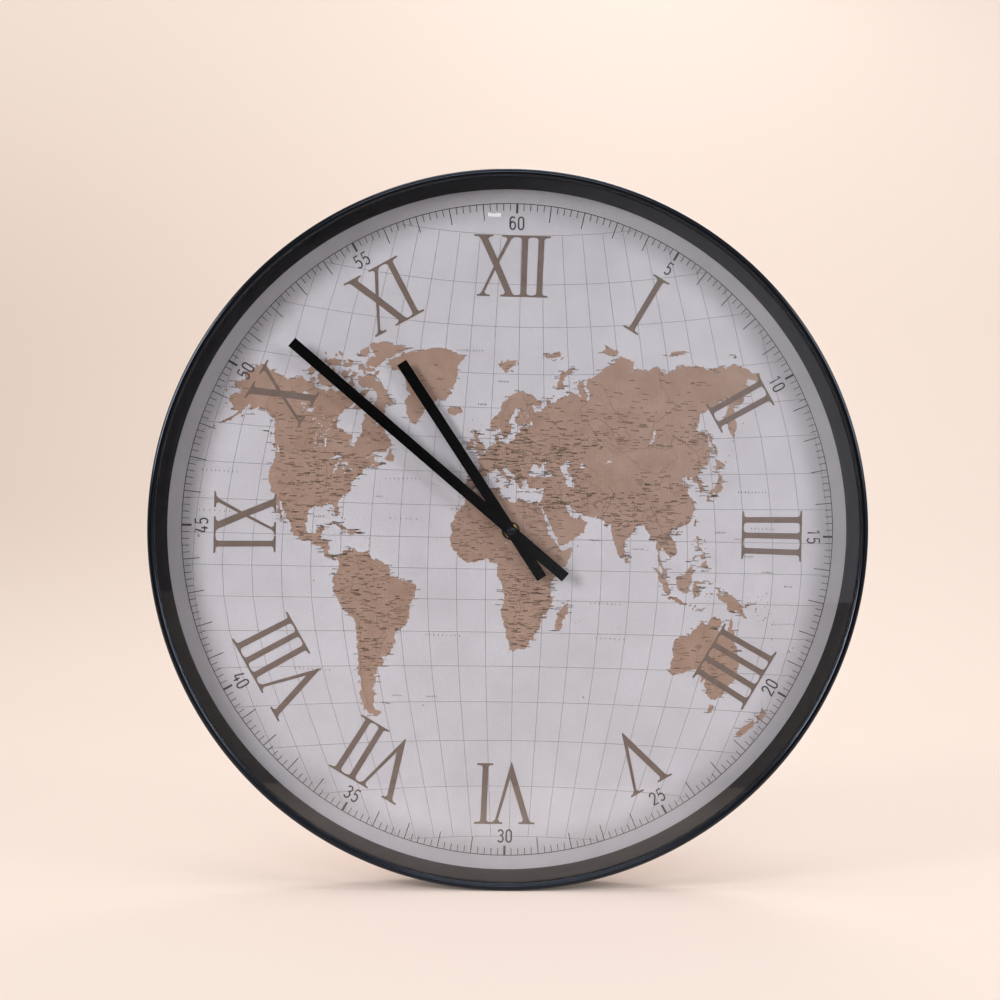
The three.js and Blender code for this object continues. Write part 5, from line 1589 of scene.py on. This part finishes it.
@dataclass
class HourNumerals:
    """Roman numerals with slab serifs that run together, tops towards the rim."""

    inner: float = 198.6
    tall: float = 51.9
    bar: float = 1.7
    lip_share: float = 0.8
    stem: float = 4.9
    one_cell: float = 13.6
    five_cell: float = 35.8
    five_reach: float = 1.4
    five_spread: float = 1.6
    ten_cell: float = 35.0
    ten_reach: float = 1.0
    overhang: float = 0.8
    bracket: float = 2.6
    taper: float = 0.0013
    height: float = 0.24
    names: tuple[str, ...] = ("XII", "I", "II", "III", "IIII", "V", "VI", "VII", "VIII", "IX", "X",
                              "XI")
    aside: tuple[float, ...] = (-3.7, -0.7, 0.0, 0.0, 0.0, -1.9, 0.1, -3.7, -6.3, 2.5, -1.7, 1.7)

    def build(self) -> None:
        """Prints the twelve numerals."""
        ink = Ink("hour_numerals", NUMERAL_INK, self.height)
        cells = {"I": self.one_cell, "V": self.five_cell, "X": self.ten_cell}
        for hour, name in enumerate(self.names):
            left = self.aside[hour] - sum(cells[letter] for letter in name) / 2
            outlines = []
            for place, letter in enumerate(name):
                first, last = place == 0, place == len(name) - 1
                outlines.append([((left + x) * (1 + self.taper * (y - self.tall / 2)),
                                  self.inner + y) for x, y in self.outline(letter, first, last)])
                left += cells[letter]
            ink.area(outlines, turn=hour * 30)
        ink.lay()

    def outline(self, letter: str, first: bool, last: bool) -> Line:
        """Outline of one letter in its cell, which may start or end the numeral."""
        if letter == "I":
            return self.one(first, last)
        return self.five(last) if letter == "V" else self.ten()

    def hollow(self, side: int, upper: bool) -> Line:
        """Curved bracket between a bar and the stem of a one.

        Args:
            side: 1 for the right of the stem, -1 for the left.
            upper: Whether the bar is the upper one.

        Returns:
            Five points from bar to stem.
        """
        edge = self.one_cell / 2 + side * self.stem / 2
        bar = self.tall - self.bar if upper else self.bar
        drop = -self.bracket if upper else self.bracket
        ends = ((edge + side * self.bracket, bar), (edge, bar), (edge, bar + drop))
        a, b, c = (Vector(end) for end in ends)
        return [tuple(a.lerp(b, t).lerp(b.lerp(c, t), t)) for t in (0.0, 0.25, 0.5, 0.75, 1.0)]

    def one(self, first: bool, last: bool) -> Line:
        """Outline of a one: a stem between two bars that reach the neighbours.

        Args:
            first: Whether it starts the numeral.
            last: Whether it ends the numeral.

        Returns:
            The outline.
        """
        left = -self.overhang if first else 0.0
        right = self.one_cell + (self.overhang if last else 0.0)
        top, lip = self.tall, self.bar * self.lip_share
        return ([(left, 0.0), (right, 0.0), (right, lip)]
                + self.hollow(1, False) + self.hollow(1, True)[::-1]
                + [(right, top - lip), (right, top), (left, top), (left, top - lip)]
                + self.hollow(-1, True) + self.hollow(-1, False)[::-1] + [(left, lip)])

    def crossing(self, a: Line, b: Line) -> Point:
        """Where two straight strokes' edges cross.

        Args:
            a: Two points of one edge.
            b: Two points of the other.

        Returns:
            The crossing.
        """
        (x1, y1), (x2, y2) = a
        (x3, y3), (x4, y4) = b
        det = (x1 - x2) * (y3 - y4) - (y1 - y2) * (x3 - x4)
        first, second = x1 * y2 - y1 * x2, x3 * y4 - y3 * x4
        return ((first * (x3 - x4) - (x1 - x2) * second) / det,
                (first * (y3 - y4) - (y1 - y2) * second) / det)

    def five(self, last: bool) -> Line:
        """Outline of a five: a broad stroke down and a thin one up.

        Args:
            last: Whether it ends the numeral.

        Returns:
            The outline.
        """
        top, under, tip = self.tall, self.tall - self.bar, self.tall - self.bar * self.lip_share
        spread = self.five_spread if last else 0.0
        wide = self.five_cell + self.five_reach + spread
        thin = 31.1 + spread
        notch = self.crossing([(9.2, under), (24.6, 0.0)], [(thin, under), (17.4, 0.0)])
        return [(0.0, top), (13.4, top), (13.4, tip), (11.0, under), (9.7, under - 1.8), notch,
                (thin - 0.6, under - 2.2), (thin - 2.0, under), (26.8, tip), (26.8, top),
                (wide, top), (wide, tip), (thin + 4.0, under), (thin + 1.7, under - 2.2),
                (20.1, -0.9), (19.4, -0.9), (4.7, under - 2.0), (3.2, under), (0.0, tip)]

    def ten(self) -> Line:
        """Outline of a ten: a broad stroke crossed by a thin one.

        Returns:
            The outline.
        """
        top, under, foot = self.tall, self.tall - self.bar, self.bar
        wide, tip = self.ten_cell + self.ten_reach, self.bar * self.lip_share
        broad_left, broad_right = [(4.6, under), (26.3, foot)], [(10.7, under), (32.4, foot)]
        thin_left, thin_right = [(28.1, under), (4.3, foot)], [(31.3, under), (6.5, foot)]
        return [(0.0, top), (15.6, top), (15.6, top - tip), (13.0, under), (11.5, under - 1.8),
                self.crossing(broad_right, thin_left), (27.2, under - 1.8), (26.0, under),
                (23.0, top - tip), (23.0, top), (wide, top), (wide, top - tip), (32.6, under),
                (30.3, under - 2.0), self.crossing(thin_right, broad_right), (31.7, foot + 1.6),
                (33.0, foot), (wide, tip), (wide, 0.0), (21.2, 0.0), (21.2, tip), (24.0, foot),
                (25.5, foot + 1.8), self.crossing(broad_left, thin_right), (7.4, foot + 1.8),
                (8.8, foot), (12.0, tip), (12.0, 0.0), (0.8, 0.0), (0.8, tip), (3.2, foot),
                (5.2, foot + 2.0), self.crossing(thin_left, broad_left), (5.4, under - 1.8),
                (3.6, under), (0.0, top - tip)]


# Hands and centre

@dataclass
class Hands:
    """Two straight bars, the brass that clamps the dial and the cap on the arbor."""

    stamp_edge: float = 0.16
    nut_edge: float = 0.3
    cap_radius: float = 3.6
    cap_ease: float = 0.12
    cap_bore: float = 1.7
    cap_bore_depth: float = 1.4
    cap_facets: int = 48
    dome: tuple[Point, ...] = ((0.0, 0.0), (0.4, 0.03), (0.72, 0.14), (0.92, 0.32), (1.0, 0.52))
    washer_bore: float = 4.3
    washer_ease: float = 0.2
    washer_facets: int = 96

    def build(self) -> None:
        """Makes hands, cap, washer and nut."""
        keep_eased("hour_bar", "hour_hand", self.stamp_edge, HAND_ENAMEL, Body.HOUR)
        keep_eased("minute_bar", "minute_hand", self.stamp_edge, HAND_ENAMEL,
                   Body.MINUTE)
        self.cap()
        self.washer()
        keep_eased("hex_nut", "fixing_nut", self.nut_edge, BRASS)

    def cap(self) -> None:
        """Turns the domed cap nut, hollow behind for the arbor."""
        front, back = depths(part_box("minute_hand_nut"))
        radius, bottom = self.cap_radius, back + self.cap_bore_depth
        profile = [(radius * out, front - (front - back) * drop) for out, drop in self.dome]
        profile += [(radius, back + self.cap_ease), (radius - self.cap_ease, back),
                    (self.cap_bore, back), (self.cap_bore, bottom), (0.0, bottom)]
        keep("cap_nut", turned(profile, self.cap_facets), ENAMEL_BLACK,
             ("minute_hand_nut",), Body.MINUTE)

    def washer(self) -> None:
        """Turns the washer with eased edges."""
        low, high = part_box("brass_washer")
        front, back = depths((low, high))
        outer = (high.x - low.x) / 2 / MM
        profile = eased([(self.washer_bore, front), (outer, front), (outer, back),
                         (self.washer_bore, back)], self.washer_ease)
        # Painted shade: the washer's brass is darkened for the shade of the hands over it
        keep("turned_washer", turned(profile, self.washer_facets, closed=True), SHADE_DARKENED_BRASS,
             ("brass_washer",))


# Back

@dataclass
class BackFittings:
    """Clips, hanger and screws on the back of the board."""

    clips: int = 6
    clip_edge: float = 0.3
    hanger_edge: float = 0.35
    head: float = 3.2
    head_height: float = 1.8
    shank: float = 1.4
    sheet: float = 1.2
    bite: float = 2.2
    facets: int = 40
    recess_long: float = 3.6
    recess_wide: float = 0.9
    recess_deep: float = 1.0
    recess_taper: Spot = (0.45, 1.0, 0.8)
    turn_step: float = 37.0

    def build(self) -> None:
        """Makes the fittings."""
        numbers = range(1, self.clips + 1)
        for i in numbers:
            keep_eased(f"pressed_clip_{i}", f"clip_{i}", self.clip_edge, ZINC)
        keep_eased("folded_hanger", "hanger_bracket", self.hanger_edge, ZINC)
        names = [f"clip_screw_{i}" for i in numbers] + ["hanger_screw_left", "hanger_screw_right"]
        pattern = self.pattern()
        for i, name in enumerate(names):
            self.screw(name, pattern, i * self.turn_step)
        bpy.data.meshes.remove(pattern)

    def pattern(self) -> bpy.types.Mesh:
        """One pan-head screw with a cross recess, its outer face at depth nought.

        Returns:
            The mesh, about the Y axis.
        """
        seat = self.head_height
        tip = seat + self.sheet + self.bite
        profile = [(0.0, 0.0), (1.3, 0.06), (2.2, 0.26), (2.85, 0.62), (self.head, 1.15),
                   (self.head, seat), (self.shank, seat), (self.shank, tip - self.shank),
                   (0.0, tip)]
        size = (self.recess_long * MM, 2 * self.recess_deep * MM, self.recess_wide * MM)
        cross = bmesh.new()
        for turn in (0.0, math.pi / 2):
            arm = bmesh.ops.create_cube(cross, size=1.0)["verts"]
            bmesh.ops.scale(cross, vec=size, verts=arm)
            deep = [v for v in arm if v.co.y < 0]
            bmesh.ops.scale(cross, vec=self.recess_taper, verts=deep)
            bmesh.ops.rotate(cross, matrix=Matrix.Rotation(turn, 3, "Y"), verts=arm)
        blank = mesh_of("screw", turned(profile, self.facets, axis_z=0.0))
        return self.cut(blank, mesh_of("cross", cross))

    def cut(self, body: bpy.types.Mesh, cutter: bpy.types.Mesh) -> bpy.types.Mesh:
        """Cuts one mesh out of another.

        Args:
            body: The mesh that is cut, and then removed.
            cutter: The mesh that cuts, and is then removed.

        Returns:
            The cut mesh.
        """
        blank, tool = (placed(mesh.name, mesh) for mesh in (body, cutter))
        step = blank.modifiers.new("recess", "BOOLEAN")
        step.operation = "DIFFERENCE"
        step.solver = "EXACT"
        step.use_self = True
        step.object = tool
        result = evaluated_mesh(blank)
        for mesh in (body, cutter):
            bpy.data.meshes.remove(mesh)
        return result

    def screw(self, name: str, pattern: bpy.types.Mesh, turn: float) -> None:
        """Sets a screw in its place.

        Args:
            name: The solid that it stands for.
            pattern: The screw's mesh.
            turn: How far its recess is turned, in degrees.
        """
        low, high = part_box(name)
        middle = (low + high) / 2
        place = Matrix.Translation((middle.x, high.y, middle.z))
        shape = bmesh.new()
        shape.from_mesh(pattern)
        bmesh.ops.transform(shape, matrix=place @ Matrix.Rotation(math.radians(turn), 4, "Y"),
                            verts=shape.verts)
        keep(f"pan_{name}", shape, ZINC, (name,))


@dataclass
class Movement:
    """Battery movement: moulded case and cover, knob and cell."""

    case_edge: float = 0.25
    cover_edge: float = 0.35
    knob_edge: float = 0.2
    cell_radius: float = 7.25
    cell_facets: int = 64
    end_slice: float = 0.1

    def build(self) -> None:
        """Makes the pieces that show at the back."""
        keep_eased("moulded_case", "movement_housing", self.case_edge, ABS)
        keep_eased("moulded_cover", "movement_cover", self.cover_edge, ABS)
        keep_eased("fluted_knob", "setting_knob", self.knob_edge, ABS,
                   Body.SETTING)
        self.cell()

    def cell(self) -> None:
        """Turns the cell along X, with its sleeve's rolled shoulders and its button."""
        low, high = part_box("battery")
        end, radius = (high.x - low.x) / MM, self.cell_radius
        profile = [(0.0, end), (2.45, end), (2.75, end - 0.3), (2.75, end - 1.0), (5.6, end - 1.0),
                   (5.8, end - 0.75), (6.6, end - 0.75), (7.1, end - 1.3), (radius, end - 1.9),
                   (radius, 0.9), (7.05, 0.35), (6.6, 0.1), (5.9, 0.1), (5.6, 0.35), (4.6, 0.35),
                   (4.2, 0.0), (0.0, 0.0)]
        shape = turned(profile, self.cell_facets, axis_z=0.0)
        middle = (low + high) / 2
        button_left = self.points_left()
        turn = Matrix.Rotation(math.radians(-90 if button_left else 90), 4, "Z")
        start = Vector((high.x if button_left else low.x, middle.y, middle.z))
        bmesh.ops.transform(shape, matrix=Matrix.Translation(start) @ turn, verts=shape.verts)
        keep("sleeved_cell", shape, SLEEVE, ("battery",))

    def points_left(self) -> bool:
        """Whether the cell's button is at its left end, read from the solid.

        Returns:
            True if the solid is thinner at the left.
        """
        low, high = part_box("battery")
        axis, near = (low.z + high.z) / 2, self.end_slice * MM
        corners = [v.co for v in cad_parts["battery"].data.vertices]
        left = max(abs(c.z - axis) for c in corners if c.x < low.x + near)
        right = max(abs(c.z - axis) for c in corners if c.x > high.x - near)
        return left < right


SOLID_FINISHES: dict[str, Finish] = {
    "dial_sheet": PAPER, "dial_board": BOARD, "rubber_gasket": RUBBER, "train_plate": ABS,
    "hour_wheel": ACETAL, "minute_arbor": ZINC, "motion_wheel": ACETAL, "setting_arbor": ACETAL,
    "centre_wheel": ACETAL, "third_wheel": ACETAL, "rotor_pinion": ACETAL, "rotor_magnet": MAGNET,
    "stator_plate": ZINC, "coil_core": ZINC, "coil_bobbin": ABS, "coil_winding": COPPER,
    "circuit_board": MASK, "quartz_crystal": ZINC, "chip_cover": RUBBER,
    "contact_negative": ZINC, "contact_positive": ZINC,
}


def dress_solids() -> None:
    """Gives every solid that stays in view its finish."""
    for name, finish in SOLID_FINISHES.items():
        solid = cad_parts[name]
        solid.data.materials.clear()
        solid.data.materials.append(material_of(finish))
        LOG.info("%s: solid dressed", name)


# Stage

@dataclass(frozen=True)
class Lamp:
    """A softbox: where it hangs, its size in metres, its power and what it faces."""

    name: str
    place: Spot
    size: Point
    watts: float
    aim: Spot = (0.0, -DIAL.face, DIAL.axis_z)
    tint: Spot = (1.0, 0.975, 0.985)

    def hang(self) -> None:
        """Hangs the lamp."""
        light = bpy.data.lights.new(self.name, "AREA")
        light.shape = "RECTANGLE"
        light.size, light.size_y = self.size
        light.energy = self.watts
        light.color = self.tint
        lamp = placed(self.name, light)
        lamp.location = self.place
        ray = Vector(self.aim) - Vector(self.place)
        lamp.rotation_euler = ray.to_track_quat("-Z", "Y").to_euler()


# A strip at each side, soft boxes in front, overhead and behind, and a pane for the glass's glint
LAMPS = (
    Lamp("left_strip", (-2.6, -1.8, 0.86), (0.7, 1.5), 78.0),
    Lamp("right_strip", (2.6, -1.65, 0.86), (0.7, 1.5), 38.0),
    Lamp("front_softbox", (0.0, -2.8, 1.05), (1.2, 0.5), 16.0),
    Lamp("overhead_softbox", (0.0, -0.2, 1.8), (1.6, 0.7), 11.0, (0.0, -0.1, -0.5)),
    Lamp("back_softbox", (0.5, 1.5, 1.3), (1.0, 0.6), 14.0),
    Lamp("small_pane", (0.039, -1.392, 0.263), (0.022, 0.006), 0.0018),
)


@dataclass
class Studio:
    """Seamless pale sweep, soft lamps and the camera.

    A ramp is a span, in metres or of a direction, and the values at its two ends.
    """

    cream: str = "FDEDE1"
    # Tone of the painted shade on the backdrop behind the clock
    dusk: str = "E4D3C6"
    # Painted reflection: the dark that the paper shows past the table edge, to everything but the
    # camera
    past_table: str = "7A6F66"
    room_tint: str = "E6E6F0"
    floor_front: float = -4.0
    floor_drop: float = 0.0002
    sweep_behind: float = 1.1
    sweep_radius: float = 0.7
    sweep_steps: int = 16
    sweep_top: float = 3.0
    half_width: float = 4.0
    table_edge: float = -0.53
    table_blend: float = 0.01
    table_near: float = -0.3
    # Painted reflection: how far the paper darkens towards the table edge, to everything but the camera
    table_dusk: float = 2.0
    # Ramps of the painted shade on the backdrop: rising from the floor, falling towards the top,
    # stronger at the left
    rise_ramp: Ramp = (-0.74, -0.2, 0.0, 1.0)
    fall_ramp: Ramp = (0.0, 0.88, 1.0, 0.35)
    across_ramp: Ramp = (-1.2, 0.4, 1.2, 0.35)
    contact_y: float = -0.025
    glow_ramp: Ramp = (0.08, 0.36, 0.08, 0.66)
    wall_ramp: Ramp = (-0.02, 0.26, 0.01, 0.62)
    front_span: Point = (-0.9, -0.35)
    side_light: float = 0.42
    even_light: float = 0.24
    lens_mm: float = 58.39
    sensor_mm: float = 36.0
    shift: Point = (-0.0107, 0.0308)
    nearest: float = 0.05
    stand: Spot = (-0.0786, -1.367, 0.0287)
    roll: float = 1.15

    def build(self) -> None:
        """Sets the stage."""
        self.sweep()
        self.world()
        for lamp in LAMPS:
            lamp.hang()
        self.camera()

    def sweep(self) -> None:
        """Bends floor and backdrop from one sheet."""
        floor = CAD_BOX[0].z - self.floor_drop
        path = [(self.floor_front, floor), (self.sweep_behind, floor)]
        for i in range(1, self.sweep_steps + 1):
            angle = math.pi / 2 * i / self.sweep_steps
            path.append((self.sweep_behind + self.sweep_radius * math.sin(angle),
                         floor + self.sweep_radius * (1 - math.cos(angle))))
        path.append((self.sweep_behind + self.sweep_radius, self.sweep_top))
        shape = bmesh.new()
        points = [shape.verts.new((-self.half_width, y, z)) for y, z in path]
        edges = [shape.edges.new(pair) for pair in zip(points, points[1:])]
        pulled = bmesh.ops.extrude_edge_only(shape, edges=edges)["geom"]
        moved = [item for item in pulled if isinstance(item, bmesh.types.BMVert)]
        bmesh.ops.translate(shape, vec=(2 * self.half_width, 0.0, 0.0), verts=moved)
        bmesh.ops.recalc_face_normals(shape, faces=shape.faces)
        mesh = mesh_of("pale_sweep", shape)
        mesh.shade_smooth()
        mesh.materials.append(self.paper())
        sheet = placed("pale_sweep", mesh)

    def paper(self) -> bpy.types.Material:
        """Cream backdrop paper that glows only for the camera, glass and metal.

        Returns:
            The material.
        """
        material = bpy.data.materials.new("cream_backdrop_paper")
        tree = cleared(material)
        spot = add_node(tree, "ShaderNodeTexCoord")["Object"]
        path = add_node(tree, "ShaderNodeLightPath")
        colour = self.paper_colour(tree, spot, path["Is Camera Ray"])
        away = add_node(tree, "ShaderNodeVectorMath", (
            spot, (0.0, self.contact_y, CAD_BOX[0].z)), {"operation": "DISTANCE"})
        glow = add_node(tree, "ShaderNodeMapRange", (away["Value"], *self.glow_ramp), SMOOTH)
        matt = add_node(tree, "ShaderNodeBsdfDiffuse", {"Color": colour})
        light = add_node(tree, "ShaderNodeEmission", {"Color": colour, "Strength": 1.0})
        seen = add_node(tree, "ShaderNodeMath", (
            path["Is Camera Ray"], path["Is Transmission Ray"]), GREATER)
        mirrored = add_node(tree, "ShaderNodeMath", (seen[0], path["Is Glossy Ray"]), GREATER)
        share = add_node(tree, "ShaderNodeMath", (mirrored[0], glow[0]), TIMES)
        both = add_node(tree, "ShaderNodeMixShader", (share[0], matt[0], light[0]))
        add_node(tree, "ShaderNodeOutputMaterial", {"Surface": both[0]})
        return material

    def paper_colour(self, tree: Tree, spot: Socket, camera_ray: Socket) -> Socket:
        """Cream darkened behind the clock by painted shade and, in reflections only, ending at a
        painted table edge.

        Args:
            tree: The material's tree.
            spot: Object coordinates.
            camera_ray: One where the camera sees the paper itself.

        Returns:
            The colour socket.
        """
        x, y, z = add_node(tree, "ShaderNodeSeparateXYZ", (spot,))
        # Painted shade: a darker band behind the clock, deeper at the left
        rise = add_node(tree, "ShaderNodeMapRange", (z, *self.rise_ramp), SMOOTH)
        fall = add_node(tree, "ShaderNodeMapRange", (z, *self.fall_ramp), SMOOTH)
        across = add_node(tree, "ShaderNodeMapRange", (x, *self.across_ramp), SMOOTH)
        height = add_node(tree, "ShaderNodeMath", (rise[0], fall[0]), TIMES)
        shade = add_node(tree, "ShaderNodeMath", (height[0], across[0]), TIMES)
        unseen = add_node(tree, "ShaderNodeMath", (1.0, camera_ray), {"operation": "SUBTRACT"})
        # Painted reflection: nearing the table edge the paper darkens for all but camera rays
        near = add_node(tree, "ShaderNodeMapRange", (
            y, self.table_edge, self.table_near, self.table_dusk, 0.0), SMOOTH)
        front = add_node(tree, "ShaderNodeMath", (near[0], unseen[0]), TIMES)
        painted_shade = add_node(tree, "ShaderNodeMath", (shade[0], front[0]), GREATER)
        table = add_node(tree, "ShaderNodeMix", {
            0: painted_shade[0], 6: srgb(self.cream), 7: srgb(self.dusk)}, {**COLOURS, "clamp_factor": False})
        # Painted reflection: past the table edge the paper turns dark for all but camera rays, so the
        # glass shows a table edge
        past = add_node(tree, "ShaderNodeMapRange", (
            y, self.table_edge - self.table_blend, self.table_edge, 1.0, 0.0))
        room = add_node(tree, "ShaderNodeMath", (past[0], unseen[0]), TIMES)
        return add_node(tree, "ShaderNodeMix", {
            0: room[0], 6: table[2], 7: srgb(self.past_table)}, COLOURS)[2]

    def world(self) -> None:
        """Even room light; behind the camera it is dim at the left, with a pale wall at the right."""
        world = bpy.data.worlds.new("studio_room")
        tree = cleared(world)
        path = add_node(tree, "ShaderNodeLightPath")
        ray = add_node(tree, "ShaderNodeTexCoord")["Generated"]
        facing = add_node(tree, "ShaderNodeSeparateXYZ", (ray,))
        wall = add_node(tree, "ShaderNodeMapRange", (facing[0], *self.wall_ramp), SMOOTH)
        side = add_node(tree, "ShaderNodeMapRange", (
            facing[1], *self.front_span, wall[0], self.side_light), SMOOTH)
        strength = add_node(tree, "ShaderNodeMix", {
            0: path["Is Diffuse Ray"], 2: side[0], 3: self.even_light})
        room = add_node(tree, "ShaderNodeBackground", {
            "Color": srgb(self.room_tint), "Strength": strength[0]})
        pale = add_node(tree, "ShaderNodeBackground", {"Color": srgb(self.cream), "Strength": 1.0})
        both = add_node(tree, "ShaderNodeMixShader", (path["Is Camera Ray"], room[0], pale[0]))
        add_node(tree, "ShaderNodeOutputWorld", {"Surface": both[0]})
        bpy.context.scene.world = world

    def camera(self) -> None:
        """Sets the camera a little left of and above the dial's axis, slightly rolled."""
        lens = bpy.data.cameras.new("camera")
        lens.lens = self.lens_mm
        lens.sensor_width = self.sensor_mm
        lens.shift_x, lens.shift_y = self.shift
        lens.clip_start = self.nearest
        camera = placed("camera", lens)
        target = Vector((0.0, -DIAL.face, DIAL.axis_z))
        stand = target + Vector(self.stand)
        aim = (target - stand).to_track_quat("-Z", "Y").to_matrix().to_4x4()
        roll = Matrix.Rotation(math.radians(self.roll), 4, "Z")
        camera.matrix_world = Matrix.Translation(stand) @ aim @ roll
        bpy.context.scene.camera = camera


def main() -> None:
    """Builds the clock's looks in order."""
    logging.basicConfig(level=logging.INFO, format="%(name)s: %(message)s")
    bpy.context.scene.view_settings.view_transform = "Standard"
    Studio().build()
    dress_solids()
    Case().build()
    WorldMap().build()
    MinuteTrack().build()
    HourNumerals().build()
    Hands().build()
    BackFittings().build()
    Movement().build()


if __name__ == "__main__":
    main()
